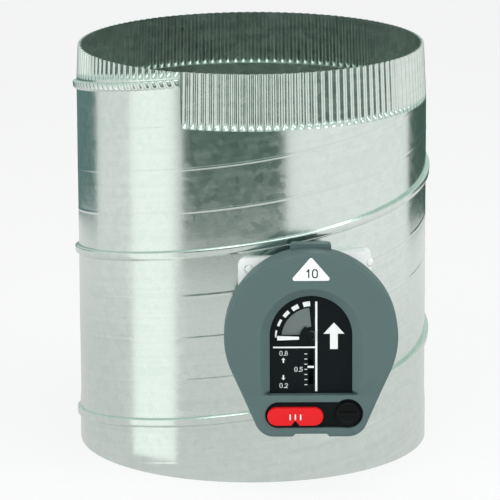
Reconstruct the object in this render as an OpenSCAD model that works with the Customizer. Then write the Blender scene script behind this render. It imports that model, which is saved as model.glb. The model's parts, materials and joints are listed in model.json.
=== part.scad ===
// Bypass damper for a round duct: a spiral sheet-steel sleeve with a spring-loaded blade on an
// off-centre axle, and a control housing that shows the blade angle and sets the bypass pressure.
// Origin on the duct axis at the inlet end plane, +Z along the air flow, housing towards -Y.

/* [Duct sleeve] */
// Inside diameter of the duct
duct_bore = 254; // [200:1:320]
// Thickness of the galvanised sheet
sheet = 0.7; // [0.5:0.1:1]
// Length of the sleeve from the inlet end to the crimped rim
sleeve_length = 295.7; // [285:0.1:340]
// Length of the expanded inlet end that takes the next pipe
inlet_length = 28; // [20:1:28]
// How far the inlet end is expanded, on the radius
inlet_swell = 0.6; // [0.3:0.1:1.2]
// Length of the short cone behind the expanded inlet
inlet_cone = 3; // [2:0.5:6]

/* [Crimped outlet] */
// Length of the crimped spigot
crimp_length = 40; // [25:1:50]
// Number of crimps round the rim
crimp_count = 134; // [90:1:150]
// Loss of mean radius from the start of the crimps to the rim
crimp_taper = 3.1; // [1:0.1:5]
// Half height of one crimp, peak to mean radius
crimp_wave = 1.1; // [0.5:0.1:1.5]

/* [Lock seam] */
// Rise of the spiral seam in one turn, which is the width of the sheet strip
seam_pitch = 123.2; // [110:0.1:140]
// Width of the folded seam
seam_width = 7; // [5:0.5:9]
// How far the seam stands out of the sleeve
seam_rise = 2.8; // [1.5:0.1:4]
// Distance of the seam below the axle where it crosses the -X side of the duct for the first time
seam_below_axle = 95.7; // [92:0.1:98]
// Distance left between the end of the seam and the rim
seam_end_margin = 7.6; // [4:0.1:12]

/* [Axle] */
// Distance of the axle from the duct axis
axle_offset = 41; // [30:0.5:44]
// Height of the axle above the inlet end
axle_height = 114.5; // [112:0.5:125]
// Diameter of the axle
axle_d = 9.5; // [8:0.1:11]
// Diameter of the thin front end that carries the indicator
spigot_d = 6; // [4:0.1:7]
// Opening angle of the blade
open_angle = 80; // [60:1:80]

/* [Blade] */
// Radial gap between the gasket and the duct
blade_gap = 1.3; // [0.8:0.1:3]
// How far the steel plates stay inside the edge of the gasket
plate_inset = 4; // [2:0.5:8]
// Thickness of each blade plate
plate_t = 0.8; // [0.6:0.1:1.5]
// Thickness of the rubber gasket
gasket_t = 1.6; // [1:0.1:3]
// Half length of the channel that is pressed round the axle
channel_half = 110; // [70:1:112]
// Shank diameter of the blade rivets
blade_rivet_d = 4; // [3:0.1:5]
// Diameter of the bolts that pin the plates to the axle
axle_bolt_d = 4; // [3:0.1:5]

/* [Housing] */
// Radius of the round head of the housing
head_r = 61; // [56:0.5:66]
// Radius of the two lower corners of the housing
foot_r = 14; // [10:0.5:18]
// Distance of each lower corner centre from the middle
foot_x = 26; // [24:0.5:28]
// Drop of the corner centres below the axle
foot_drop = 58.7; // [57:0.1:66]
// Gap between the top of the lock seam and the back of the housing
housing_gap = 1.5; // [0.5:0.1:5]
// Depth of the rear tray
tray_depth = 8; // [7:0.5:10]
// Depth of the front cover
cover_depth = 18; // [17:0.5:20]
// Wall thickness of tray and cover
shell = 2.4; // [1.8:0.1:3]
// How far the tray stays inside the outline of the cover
tray_inset = 1.2; // [0.6:0.1:2]
// Width of the bevel round the front edge of the cover
edge_bevel = 2.5; // [1:0.1:4]
// Depth of the lower block below the round face
block_step = 2; // [1.2:0.1:2.4]
// Width of the lug on top of the tray
lug_w = 28.8; // [20:0.1:36]
// How far the lug stands above the round head
lug_rise = 2.5; // [1:0.1:5]
// Width of the notch in the middle of the lower edge
notch_w = 24; // [15:0.5:30]
// Depth of that notch
notch_h = 2; // [1:0.1:3]

/* [Dial panel] */
// Half width of the arched panel
arch_r = 29; // [27:0.5:31]
// Distance of the lower edge of the panel below the axle
arch_drop = 42; // [39:0.5:43]
// Depth of the panel below the front face
panel_sink = 8; // [6:0.5:9]
// Thickness of the panel
panel_t = 1.5; // [1:0.1:2]
// Width of the sloping border round the panel
arch_bevel = 6.5; // [3:0.5:8]
// Radius of the white arc of dashes
dash_r = 26.3; // [25:0.1:27]
// Outer radius of the grey quarter field
field_r = 20.5; // [18:0.1:22]
// Outer radius of the indicator hub
hub_r = 7.6; // [6:0.1:9]
// Distance from the axle to the tip of the indicator pointer
pointer_r = 23.7; // [21:0.1:24]
// Height of the printed marks above the panel
print_t = 0.2; // [0.1:0.05:0.3]
// Distance between two marks of the pressure scale
tick_pitch = 3.73; // [3.2:0.01:3.73]

/* [Lock slider and knob] */
// Distance of the knob axis from the middle of the housing
knob_x = 25.9; // [25:0.1:27]
// Distance of the knob axis below the axle
knob_drop = 55.6; // [55:0.1:57]
// Radius of the adjusting knob
knob_r = 8.5; // [7:0.1:9]
// Radius of the round recess for the knob
knob_recess_r = 10.5; // [10:0.1:11.5]
// Length of the red slider
pill_l = 39.4; // [34:0.1:42]
// Height of the red slider
pill_h = 15; // [12:0.1:15]
// Left end of the recess, from the middle of the housing
slot_left = 32.2; // [32:0.1:34]
// Height of the recess
slot_h = 18.6; // [18:0.1:20]
// Travel of the red slider
lock_travel = 7.5; // [6:0.1:8]
// Turn of the knob to each side
knob_turn = 90; // [60:1:90]

/* [Saddle] */
// Left edge of the saddle, from the middle of the housing
saddle_left = 51; // [45:0.5:54]
// Right edge of the saddle, from the middle of the housing
saddle_right = 43.5; // [40:0.5:48]
// Top edge of the saddle above the axle
saddle_top = 51.3; // [46:0.1:51.5]
// Lower edge of the saddle below the axle
saddle_drop = 42; // [38:0.5:43]
// Thickness of the saddle where it is thinnest
saddle_t = 3.8; // [3:0.1:4.2]
// Radius of the saddle corners
saddle_corner = 6; // [3:0.5:10]
// Radius of the flat seat that carries the housing
seat_r = 38; // [34:0.5:42]

/* [Spring] */
// Wire diameter of the pressure spring
spring_wire = 0.7; // [0.5:0.1:1]
// Radius of the coil, to the middle of the wire
spring_r = 2.8; // [2:0.1:3]
// Number of turns
spring_turns = 13; // [8:1:14]

/* [Hidden] */

// Curves
$fn = 96;
hull_sides = 40;
// Overrun of every cut
over = 1;
// Gap between pieces that move past each other
gap = 0.3;
// Radial clearance of a shaft that turns in its bore
run = 0.05;
// Radial clearance of a fixed pin or screw in its hole
snug = 0.1;

// Duct
bore_r = duct_bore / 2;
duct_r = bore_r + sheet;
mid_r = bore_r + sheet / 2;
crimp_z = sleeve_length - crimp_length;

// Seam, as an angle from +X that grows without limit
seam_slope = seam_pitch / 360;
seam_start_height = axle_height - seam_below_axle;
seam_zero_angle = 180;
seam_first = seam_zero_angle - (seam_start_height - seam_width / 2 - snug) / seam_slope;
seam_last = seam_zero_angle + (sleeve_length - seam_end_margin - seam_start_height) / seam_slope;
seam_step = 3;
seam_root = 0.05;
seam_low_share = 0.57;
seam_shoulder_share = 0.89;
seam_top_share = 0.46;
function seam_z(a) = seam_start_height + (a - seam_zero_angle) * seam_slope;

// Planes of the housing, as distances from the duct axis towards the front
back_d = duct_r + seam_rise + housing_gap;
split_d = back_d + tray_depth;
front_d = split_d + cover_depth;
block_d = front_d - block_step;
ceiling_d = block_d - shell;
floor_d = back_d + shell;
panel_d = front_d - panel_sink;
panel_back_d = panel_d - panel_t;
slot_plate_t = 2;
slot_sink = 4.5;
slot_d = front_d - slot_sink;
slot_back_d = slot_d - slot_plate_t;

// Blade
axle_r = axle_d / 2;
edge_r = bore_r - blade_gap;
plate_r = edge_r - plate_inset;
plate_z = gasket_t / 2;
face_z = plate_z + plate_t;
relief_share = cos(open_angle);
outline_step = 4;

// Layers inside the housing: the pinion, the rack over it, and an idler as high as both
gear_lift = 1.9;
pinion_t = 2.2;
rack_t = 2.6;
gear_d = floor_d + gear_lift;
rack_d = gear_d + pinion_t + gap;
layer_top_d = rack_d + rack_t;
wheel_t = 2.6;
wheel_d = slot_back_d - 2 * gap - wheel_t;

// Gears
gear_module = 0.8;
knob_teeth = 18;
idler_teeth = 14;
addendum_share = 0.8;
dedendum_share = 1.1;
addendum = gear_module * addendum_share;
dedendum = gear_module * dedendum_share;
tooth_pitch = PI * gear_module;
tooth_root_share = 0.56;
tooth_tip_share = 0.2;
knob_pitch_r = knob_teeth * gear_module / 2;
idler_pitch_r = idler_teeth * gear_module / 2;
knob_at = [knob_x, -knob_drop];
idler_at = knob_at + [0, knob_pitch_r + idler_pitch_r];
knob_shaft_r = 2.5;
idler_pin_r = 1.5;
clip_t = 0.8;
clip_wall = 1.6;

// Rack and pressure pointer
rack_travel = knob_pitch_r * PI * knob_turn / 180;
rack_line_x = knob_x - idler_pitch_r;
guide_r = 1.1;
guide_slot_half = rack_travel + guide_r + gap;
rack_rim = 2;
rack_w = 2 * (guide_r + gap + rack_rim);
rack_x = rack_line_x - dedendum - rack_w / 2;
rack_half = guide_slot_half + rack_rim;
rack_phase = 270 * idler_teeth / 360 - floor(270 * idler_teeth / 360) - 0.5;
bar_h = 4;
bar_drop = 36;
mark_x = -0.2;
mark_w = 4.4;
mark_h = 1.3;
scale_y = -22.6;
neck_w = 2;
mark_t = 1;
mark_slot_w = neck_w + 4 * gap;
mark_slot_half = rack_travel + neck_w / 2 + 2 * gap;

// Crank and spring
crank_r = 16;
crank_hub_r = 8;
crank_hub_t = 7;
crank_arm_t = 2;
crank_d = gear_d;
crank_arm_w = 6;
hook_pin_r = 1.2;
spring_d = layer_top_d + spring_r + spring_wire;
hook_pin_top_d = spring_d + spring_wire;
hook_y = -bar_drop + bar_h / 2;
setscrew_d = 3;

// Indicator
arm_t = 1.3;
arm_w = 4;
arm_root_share = 0.5;
needle_t = 0.8;
needle_gap = 0.8;
needle_root_w = 2;
needle_tip_w = 3.2;

// Lock slider
pill_t = 4.2;
pill_d = slot_d + gap;
pill_play = 1.4;
pill_right = pill_l + pill_play - slot_left;
pill_notch_w = 6;
pill_notch_h = 3;
stem_w = 8;
stem_h = 4;
stem_x = pill_right - pill_l / 2;
tooth_h = 4;
tooth_tip_w = 1;
wheel_r = 7.6;
wheel_notches = 12;
wheel_notch_depth = 2;
wheel_notch_w = 1.6;
tooth_bite = 1.4;
tooth_tip_x = knob_x - wheel_r + tooth_bite - lock_travel;

// Screws and rivets
rivet_d = 3.2;
rivet_head_r = 3.2;
rivet_head_t = 1.2;
screw_d = 3;
screw_head_r = 2.7;
screw_head_t = 1.1;
boss_r = 3.6;
label_t = 0.4;

// Cover screws and the bosses that take them, from the middle of the housing
screw_high_share = [0.75, 0.23];
screw_low_share = [0.69, -0.59];
cover_screw_at = [
    head_r * screw_high_share,
    head_r * [-screw_high_share[0], screw_high_share[1]],
    head_r * screw_low_share,
    head_r * [-screw_low_share[0], screw_low_share[1]],
];
// Screws that hold the tray on the seat of the saddle
seat_screw_share = [[0, 0.79], [-0.79, -0.2], [0.79, 0.16]];

// Moves children to the housing's own axes: x right, y up, z out of the duct, from a depth
module on_face(depth = 0) {
    translate([axle_offset, 0, axle_height])
        rotate([90, 0, 0])
            translate([0, 0, depth])
                children();
}

// Moves children to a place on the duct wall, with +X pointing outwards
module on_wall(angle, height) {
    translate([0, 0, height])
        rotate([0, 0, angle])
            children();
}

// Outline of the housing, grown or shrunk by a margin. Its straight sides lie a hair inside the
// tangents, so that they cross the round corners instead of touching them.
outline_hair = 0.02;
module housing_outline(grow = 0) {
    foot = [foot_x, -foot_drop];
    lean = atan2(foot[1], foot[0]) + acos((head_r - foot_r) / norm(foot));
    side = [cos(lean), sin(lean)];
    upper = side * (head_r + grow - outline_hair);
    lower = foot + side * (foot_r + grow - outline_hair);
    base_y = -foot_drop - foot_r - grow + outline_hair;
    union() {
        circle(r = head_r + grow);
        for (s = [-1, 1])
            translate([s * foot_x, -foot_drop])
                circle(r = foot_r + grow);
        polygon([
            [0, 0], upper, lower, [foot_x, -foot_drop], [foot_x, base_y],
            [-foot_x, base_y], [-foot_x, -foot_drop], [-lower[0], lower[1]], [-upper[0], upper[1]],
        ]);
    }
}

// Notch in the middle of the housing's lower edge, as a cutting block
module lower_notch(depth, height) {
    translate([-notch_w / 2, -foot_drop - foot_r - over, depth])
        cube([notch_w, notch_h + over, height]);
}

// Arch of the dial panel, grown by a margin at the sides and top and by another at the foot
module arch(grow = 0, foot_grow = 0) {
    circle(r = arch_r + grow);
    translate([-arch_r - grow, -arch_drop - foot_grow])
        square([2 * (arch_r + grow), arch_drop + foot_grow]);
}

// Bar with round ends from x0 to x1
module pill(x0, x1, h) {
    for (x = [x0 + h / 2, x1 - h / 2])
        translate([x, 0])
            circle(r = h / 2);
    translate([x0 + h / 2, -h / 2])
        square([x1 - x0 - h, h]);
}

// Recess for slider and knob, grown by a margin
module slot_outline(grow = 0) {
    translate([0, -knob_drop - (slot_h - pill_h) / 4]) {
        pill(-slot_left - grow, knob_x + slot_h / 2, slot_h + 2 * grow);
        translate([knob_x, (slot_h - pill_h) / 4])
            circle(r = knob_recess_r + grow);
    }
}

// Toothed outline with straight flanks; the first tooth points along +X
module gear_outline(teeth) {
    pitch_r = teeth * gear_module / 2;
    circle(r = pitch_r - dedendum);
    for (i = [0 : teeth - 1])
        rotate(360 * i / teeth)
            tooth(pitch_r - dedendum, pitch_r + addendum, pitch_r - 2 * dedendum);
}

// One tooth from its foot to its tip, with a stub that reaches back into the body
module tooth(foot, tip, stub) {
    root_half = tooth_pitch * tooth_root_share / 2;
    tip_half = tooth_pitch * tooth_tip_share / 2;
    polygon([
        [stub, -root_half], [foot, -root_half], [tip, -tip_half],
        [tip, tip_half], [foot, root_half], [stub, root_half],
    ]);
}

// Sheet-steel tube with its expanded inlet and its holes
module duct_sleeve() {
    color("silver")
    difference() {
        rotate_extrude()
            polygon([
                [bore_r + inlet_swell, 0], [duct_r + inlet_swell, 0],
                [duct_r + inlet_swell, inlet_length], [duct_r, inlet_length + inlet_cone],
                [duct_r, crimp_z], [bore_r, crimp_z],
                [bore_r, inlet_length + inlet_cone], [bore_r + inlet_swell, inlet_length],
            ]);
        on_face(-duct_r - over)
            cylinder(r = bush_r + snug, h = 2 * (duct_r + over));
        saddle_rivet_places()
            rivet_hole();
        for (s = [-1, 1])
            on_back(0)
                translate([s * pad_screw_x, -pad_screw_y, 0])
                    cylinder(d = screw_d + 2 * snug, h = pad_face_d);
        stop_rivet_places()
            rivet_hole();
    }
}

// Cutter for a rivet hole through the wall, along +X
module rivet_hole() {
    translate([bore_r - 4 * sheet, 0, 0])
        rotate([0, 90, 0])
            cylinder(d = rivet_d + 2 * snug, h = saddle_bow_r);
}

// Height at which the crimps start, which is the seam's upper edge where the seam lies in their way
function crimp_start(a) =
    let (turns = floor((seam_last - a) / 360), top_z = seam_z(a + 360 * turns))
    max(crimp_z, min(sleeve_length - over, top_z + seam_width / 2));

// Mean radius and wave of the crimped wall at an angle and height
function crimp_mean(a, z) = mid_r - crimp_taper * max(0, z - crimp_start(a)) / crimp_length;
function crimp_swing(a, z) =
    crimp_wave * min(1, max(0, z - crimp_start(a)) / (crimp_length * crimp_run_share));
crimp_run_share = 0.3;
crimp_rows_share = [0, 0.3, 0.62, 1];

// Crimped spigot: one ring of wall whose radius swings in and out round the rim
module crimped_end() {
    columns = 2 * crimp_count;
    rows = len(crimp_rows_share);
    angles = [for (i = [0 : columns - 1]) 360 * i / columns];
    function wall_point(i, j, side) =
        let (
            a = angles[i],
            z = crimp_z + crimp_length * crimp_rows_share[j],
            swing = crimp_swing(a, z) * (i % 2 == 0 ? 1 : -1),
            r = crimp_mean(a, z) + swing + side * sheet / 2
        )
        [r * cos(a), r * sin(a), z];
    points = [
        for (j = [0 : rows - 1]) for (i = [0 : columns - 1]) wall_point(i, j, 1),
        for (j = [0 : rows - 1]) for (i = [0 : columns - 1]) wall_point(i, j, -1),
    ];
    inner = rows * columns;
    function at(i, j, base) = base + j * columns + i % columns;
    function quad(a, b, c, d) = [[a, b, c], [a, c, d]];
    faces = [
        for (j = [0 : rows - 2]) for (i = [0 : columns - 1])
            each quad(at(i, j, 0), at(i, j + 1, 0), at(i + 1, j + 1, 0), at(i + 1, j, 0)),
        for (j = [0 : rows - 2]) for (i = [0 : columns - 1])
            each quad(at(i, j, inner), at(i + 1, j, inner), at(i + 1, j + 1, inner), at(i, j + 1, inner)),
        for (i = [0 : columns - 1])
            each quad(at(i, 0, 0), at(i + 1, 0, 0), at(i + 1, 0, inner), at(i, 0, inner)),
        for (i = [0 : columns - 1])
            each quad(
                at(i, rows - 1, 0), at(i, rows - 1, inner),
                at(i + 1, rows - 1, inner), at(i + 1, rows - 1, 0)
            ),
    ];
    color("silver")
        polyhedron(points, faces);
}

// Folded spiral seam, swept round the outside of the sleeve
module lock_seam() {
    half = seam_width / 2;
    low = seam_rise * seam_low_share;
    profile = [
        [-seam_root, -half], [low, -half * seam_shoulder_share], [seam_rise, -half * seam_top_share],
        [seam_rise, half * seam_top_share], [low, half * seam_shoulder_share], [-seam_root, half],
    ];
    sides = len(profile);
    rings = ceil((seam_last - seam_first) / seam_step);
    angles = [for (i = [0 : rings]) seam_first + (seam_last - seam_first) * i / rings];
    points = [
        for (a = angles) for (p = profile)
            [(duct_r + p[0]) * cos(a), (duct_r + p[0]) * sin(a), seam_z(a) + p[1]],
    ];
    color("gainsboro")
        polyhedron(points, tube_faces(rings + 1, sides));
}

// Faces of a tube of rings whose points run the same way, closed at both ends, as triangles
function tube_faces(rings, sides) = [
    for (i = [0 : rings - 2]) for (k = [0 : sides - 1])
        let (a = i * sides, b = a + sides, n = (k + 1) % sides)
        each [[a + k, b + k, b + n], [a + k, b + n, a + n]],
    for (k = [1 : sides - 2]) [0, k, k + 1],
    let (last = (rings - 1) * sides)
    for (k = [1 : sides - 2]) [last, last + k + 1, last + k],
];

// Saddle
bush_wall = 1.2;
bush_r = axle_r + bush_wall;
bush_brim = 2.4;
bush_flange_r = bush_r + bush_brim;
bush_flange_t = 1.4;
bush_reach = 6;
bush_start = sqrt(bore_r * bore_r - pow(axle_offset + bush_r, 2)) - bush_reach;
saddle_bow_share = 1.49;
saddle_bow_r = duct_r * saddle_bow_share;
saddle_gap = 0.05;
rivet_inset = 8;
saddle_rivet_x = [-saddle_left + rivet_inset, saddle_right - rivet_inset];
saddle_rivet_y = [-saddle_drop + rivet_inset, saddle_top - rivet_inset];
rivet_seat_r = rivet_head_r + snug;

// Angle round the duct, from +X, of a point that lies a distance right of the housing's middle
function wall_angle(x) = -90 + asin((axle_offset + x) / duct_r);

module saddle_rivet_places() {
    for (x = saddle_rivet_x)
        for (y = saddle_rivet_y)
            on_wall(wall_angle(x), axle_height + y)
                children();
}

// Radius at which the rivet heads sit on the saddle
function rivet_seat(x) =
    let (a = wall_angle(x), c = saddle_bow_r - duct_r - saddle_t, s = -sin(a) * c)
    sqrt(saddle_bow_r * saddle_bow_r - c * c + s * s) - s - rivet_head_t;

// White moulded saddle between the duct and the housing
module saddle() {
    width = saddle_left + saddle_right;
    height = saddle_top + saddle_drop;
    color("whitesmoke")
    difference() {
        union() {
            intersection() {
                on_face(0)
                    linear_extrude(height = duct_r + saddle_t + over)
                        rounded_rect(-saddle_left, -saddle_drop, width, height, saddle_corner);
                translate([0, saddle_bow_r - duct_r - saddle_t, 0])
                    cylinder(r = saddle_bow_r, h = sleeve_length);
            }
            on_face(0)
                cylinder(r = seat_r, h = back_d);
        }
        translate([0, 0, -over])
            cylinder(r = duct_r + saddle_gap, h = sleeve_length + 2 * over);
        translate([-duct_bore, 0, 0])
            cube([2 * duct_bore, duct_bore, sleeve_length]);
        on_face(0)
            cylinder(r = bush_r + snug, h = back_d + over);
        for (x = saddle_rivet_x)
            for (y = saddle_rivet_y)
                on_wall(wall_angle(x), axle_height + y) {
                    rivet_hole();
                    translate([rivet_seat(x), 0, 0])
                        rotate([0, 90, 0])
                            cylinder(r = rivet_seat_r, h = saddle_bow_r);
                }
        for (p = seat_screw_share)
            on_face(seat_tip_d(p))
                translate(seat_r * p)
                    cylinder(d = screw_d + 2 * snug, h = back_d - seat_tip_d(p) + over);
    }
}

// Depth where a screw hole in the seat ends, short of the duct
seat_screw_l = 10;
function seat_tip_d(p) =
    let (near = max(0, abs(axle_offset + seat_r * p[0]) - screw_d / 2))
    max(back_d - seat_screw_l, near < duct_r ? sqrt(duct_r * duct_r - near * near) + gap : 0);

// Rectangle with round corners, from its lower left corner
module rounded_rect(x, y, w, h, r) {
    for (px = [x + r, x + w - r])
        for (py = [y + r, y + h - r])
            translate([px, py])
                circle(r = r);
    translate([x + r, y])
        square([w - 2 * r, h]);
    translate([x, y + r])
        square([w, h - 2 * r]);
}

// Four blind rivets that hold the saddle on the duct
module saddle_rivets() {
    color("lightgray")
    for (x = saddle_rivet_x)
        for (y = saddle_rivet_y)
            on_wall(wall_angle(x), axle_height + y)
                rotate([0, 90, 0]) {
                    translate([0, 0, bore_r - rivet_head_t])
                        cylinder(d = rivet_d, h = rivet_seat(x) - bore_r + 1.5 * rivet_head_t);
                    translate([0, 0, rivet_seat(x)])
                        cylinder(r = rivet_head_r, h = rivet_head_t);
                }
}

// Rear tray of the housing, with its bosses for knob shaft, idler gear and rack
module housing_tray() {
    boss_root_d = floor_d - shell / 2;
    color("slategray")
    difference() {
        union() {
            on_face(back_d)
                linear_extrude(height = tray_depth)
                    housing_outline(-tray_inset);
            on_face(back_d)
                linear_extrude(height = tray_depth)
                    rounded_rect(-lug_w / 2, 0, lug_w, head_r + lug_rise, shell);
        }
        on_face(floor_d)
            linear_extrude(height = tray_depth)
                difference() {
                    housing_outline(-tray_inset - shell);
                    for (p = cover_screw_at)
                        translate(p)
                            circle(r = boss_r);
                    translate(knob_at)
                        circle(r = knob_shaft_r + shell);
                }
        on_face(0)
            lower_notch(back_d - over, tray_depth + 2 * over);
        on_face(back_d - over)
            cylinder(r = bush_r + snug, h = shell + 2 * over);
        for (p = cover_screw_at)
            on_face(back_d - over)
                translate(p) {
                    cylinder(d = screw_d + 2 * snug, h = tray_depth + 2 * over);
                    cylinder(r = screw_head_r + snug, h = over + screw_head_t + snug);
                }
        for (p = seat_screw_share)
            on_face(back_d - over)
                translate(seat_r * p)
                    cylinder(d = screw_d + 2 * snug, h = shell + 2 * over);
        on_face(back_d + shell / 2)
            translate(knob_at)
                cylinder(r = knob_shaft_r + run, h = tray_depth);
        on_face(gear_d - gap)
            translate(knob_at)
                cylinder(r = knob_shaft_r + 2 * shell, h = tray_depth);
    }
    color("slategray")
    on_face(boss_root_d) {
        translate(idler_at)
            cylinder(r = idler_pin_r + clip_wall, h = gear_d - gap - boss_root_d);
        translate(idler_at)
            cylinder(r = idler_pin_r, h = layer_top_d + gap + clip_t + idler_pin_r - boss_root_d);
        translate([rack_x, idler_at[1]])
            cylinder(r = guide_r + rack_rim, h = rack_d - gap - boss_root_d);
        translate([rack_x, idler_at[1]])
            cylinder(r = guide_r, h = layer_top_d + gap + guide_r - boss_root_d);
    }
}

// Three screws from inside the tray into the saddle
module tray_screws() {
    color("silver")
    for (p = seat_screw_share)
        on_face(0)
            translate(seat_r * p)
                screw(floor_d, seat_tip_d(p) + gap);
}

// Screw with its head on the outer side of a plane, and its tip at another depth
module screw(seat, tip) {
    translate([0, 0, tip])
        cylinder(d = screw_d, h = seat - tip + screw_head_t / 4);
    translate([0, 0, seat])
        difference() {
            cylinder(r = screw_head_r, h = screw_head_t);
            for (a = [0, 90])
                rotate(a)
                    translate([-screw_head_r * slot_l_share, -screw_slot_w / 2, screw_head_t / 2])
                        cube([2 * screw_head_r * slot_l_share, screw_slot_w, screw_head_t]);
        }
}
slot_l_share = 0.6;
screw_slot_w = 0.7;

// Front cover with the arched dial opening and the recess for slider and knob
module housing_cover() {
    color("slategray")
    difference() {
        union() {
            difference() {
                on_face(split_d)
                    cover_body();
                on_face(split_d - over)
                    linear_extrude(height = ceiling_d - split_d + over)
                        housing_outline(-shell);
            }
            on_face(panel_d)
                linear_extrude(height = front_d - panel_d - shell / 2)
                    arch(arch_bevel * arch_wall_share + shell, shell / 2);
            on_face(slot_d)
                linear_extrude(height = block_d - slot_d - shell / 2)
                    slot_outline(shell / 2);
            for (p = cover_screw_at)
                on_face(split_d)
                    translate(p)
                        cylinder(r = boss_r, h = block_d - split_d - shell / 2);
        }
        on_face(panel_d - over)
            linear_extrude(height = front_d - panel_d + 2 * over)
                arch();
        arch_slope();
        on_face(slot_d - over)
            linear_extrude(height = front_d - slot_d + 2 * over)
                slot_outline();
        on_face(0)
            lower_notch(split_d - over, cover_depth + 2 * over);
        for (p = cover_screw_at)
            on_face(split_d - over)
                translate(p)
                    cylinder(d = screw_d, h = cover_depth * boss_bore_share + over);
        block_cutter();
        on_face(front_d - label_t)
            linear_extrude(height = label_t + over)
                label_outline(snug);
    }
}
arch_wall_share = 0.25;
arch_lip_share = 0.33;
boss_bore_share = 0.7;

// Solid of the cover: a straight wall with a bevelled front edge
module cover_body() {
    linear_extrude(height = cover_depth - edge_bevel)
        housing_outline();
    translate([0, 0, cover_depth - edge_bevel - over])
        hull() {
            linear_extrude(height = over)
                housing_outline(-snug, $fn = hull_sides);
            linear_extrude(height = over + edge_bevel)
                housing_outline(-edge_bevel, $fn = hull_sides);
        }
}

// Cutter for the sloping border round the top and sides of the panel
module arch_slope() {
    lip = (front_d - panel_d) * arch_lip_share;
    on_face(panel_d + lip)
        hull() {
            linear_extrude(height = gap)
                arch(-gap, -arch_bevel, $fn = hull_sides);
            translate([0, 0, front_d - panel_d - lip])
                linear_extrude(height = over)
                    arch(arch_bevel, -gap, $fn = hull_sides);
        }
}

// Room in front of the lower block. On each side a facet slopes from a curved crease in the round
// face down to the top line of the block; the points of the crease are shares of the head radius.
crease_end = 1;
crease_shares = [
    [-1.2, -0.4], [-0.85, -0.43], [-0.71, -0.477], [-0.634, -0.531], [-0.58, -0.59], [-0.55, -0.64],
];
module block_cutter() {
    crease = [for (s = crease_shares) head_r * s];
    left = concat(crease, [[crease[len(crease) - 1][0] + crease_end, -arch_drop]]);
    columns = concat(left, [for (i = [len(left) - 1 : -1 : 0]) [-left[i][0], left[i][1]]]);
    top = block_step + over;
    points = [
        for (c = columns) each [
            [c[0], -arch_drop, 0], [c[0], (c[1] + arch_drop) * top / block_step - arch_drop, top],
            [c[0], -2 * head_r, top], [c[0], -2 * head_r, 0],
        ],
    ];
    on_face(block_d)
        polyhedron(points, tube_faces(len(columns), 4));
}

// Four screws from the back of the tray into the cover
module cover_screws() {
    color("silver")
    for (p = cover_screw_at)
        on_face(back_d + snug)
            translate(p) {
                cylinder(r = screw_head_r, h = screw_head_t);
                cylinder(d = screw_d - 2 * snug, h = tray_depth + cover_depth * boss_bore_share - over);
            }
}

// Black dial panel behind the arched opening
module dial_panel() {
    color("#15191b")
    on_face(panel_back_d)
        difference() {
            linear_extrude(height = panel_t)
                arch(arch_bevel * arch_wall_share + shell, shell);
            translate([0, 0, -over])
                cylinder(d = spigot_d + 4 * gap, h = panel_t + 2 * over);
            translate([mark_x - mark_slot_w / 2, scale_y - mark_slot_half, -over])
                cube([mark_slot_w, 2 * mark_slot_half, panel_t + 2 * over]);
        }
}

// Marks of the dial: grey field, arc of dashes, divider lines, scale, and the air flow arrow
field_gap = 0.4;
field_start_r = hub_r + field_gap;
field_angles = [2, 86];
dash_angles = [8, 26, 43, 61, 80];
dash_spread = 6.6;
dash_shares = [0.05, 0.065, 0.1, 0.13, 0.15];
divider_x = 3.8;
divider_w = 1.7;
divider_top = 26.5;
divider_drop = 38.5;
cross_y = -6.7;
cross_w = 1.2;
cross_left = 26.5;
tick_x = -3.7;
tick_w = 2.4;
tick_h = 0.7;
tick_count = 7;
arrow_x = 15.9;
arrow_tip = 11.2;
arrow_head_y = 3.1;
arrow_head_w = 14.6;
arrow_shaft_w = 5.4;
arrow_drop = 8;
module dial_marks() {
    on_face(panel_d)
        linear_extrude(height = print_t) {
            color("dimgray")
                sector(field_start_r, field_r, field_angles[0], field_angles[1]);
            color("white") {
                for (i = [0 : len(dash_angles) - 1])
                    sector(
                        dash_r * (1 - dash_shares[i]), dash_r,
                        dash_angles[i] - dash_spread, dash_angles[i] + dash_spread
                    );
                translate([divider_x - divider_w / 2, -divider_drop])
                    square([divider_w, divider_drop + divider_top]);
                translate([-cross_left, cross_y - cross_w / 2])
                    square([cross_left + divider_x - divider_w, cross_w]);
                for (i = [0 : tick_count - 1])
                    translate([tick_x - tick_w / 2, scale_y + tick_pitch * (i - (tick_count - 1) / 2)])
                        translate([0, -tick_h / 2])
                            square([tick_w, tick_h]);
                translate([arrow_x, 0])
                    flow_arrow();
            }
        }
}

// Part of a ring left of the axle, between two angles above the horizontal
module sector(r0, r1, a0, a1) {
    reach = 2 * r1;
    difference() {
        intersection() {
            circle(r = r1);
            polygon([
                [0, 0], reach * [-cos(a0), sin(a0)],
                reach * [-cos((a0 + a1) / 2), sin((a0 + a1) / 2)], reach * [-cos(a1), sin(a1)],
            ]);
        }
        circle(r = r0);
    }
}

// Upright arrow about its own middle line
module flow_arrow() {
    polygon([
        [0, arrow_tip], [arrow_head_w / 2, arrow_head_y], [arrow_shaft_w / 2, arrow_head_y],
        [arrow_shaft_w / 2, -arrow_drop], [-arrow_shaft_w / 2, -arrow_drop],
        [-arrow_shaft_w / 2, arrow_head_y], [-arrow_head_w / 2, arrow_head_y],
    ]);
}

// Black plate behind the recess, with the bore for the knob shaft and the slot for the slider's stem
module slot_plate() {
    color("#101314")
    on_face(slot_back_d)
        difference() {
            linear_extrude(height = slot_plate_t)
                slot_outline(shell / 2);
            translate([knob_at[0], knob_at[1], -over])
                cylinder(r = knob_shaft_r + run, h = slot_plate_t + 2 * over);
            translate([stem_x - stem_w / 2 - gap, -knob_drop - stem_h / 2 - gap, -over])
                cube([stem_w + lock_travel + 2 * gap, stem_h + 2 * gap, slot_plate_t + 2 * over]);
        }
}

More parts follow.
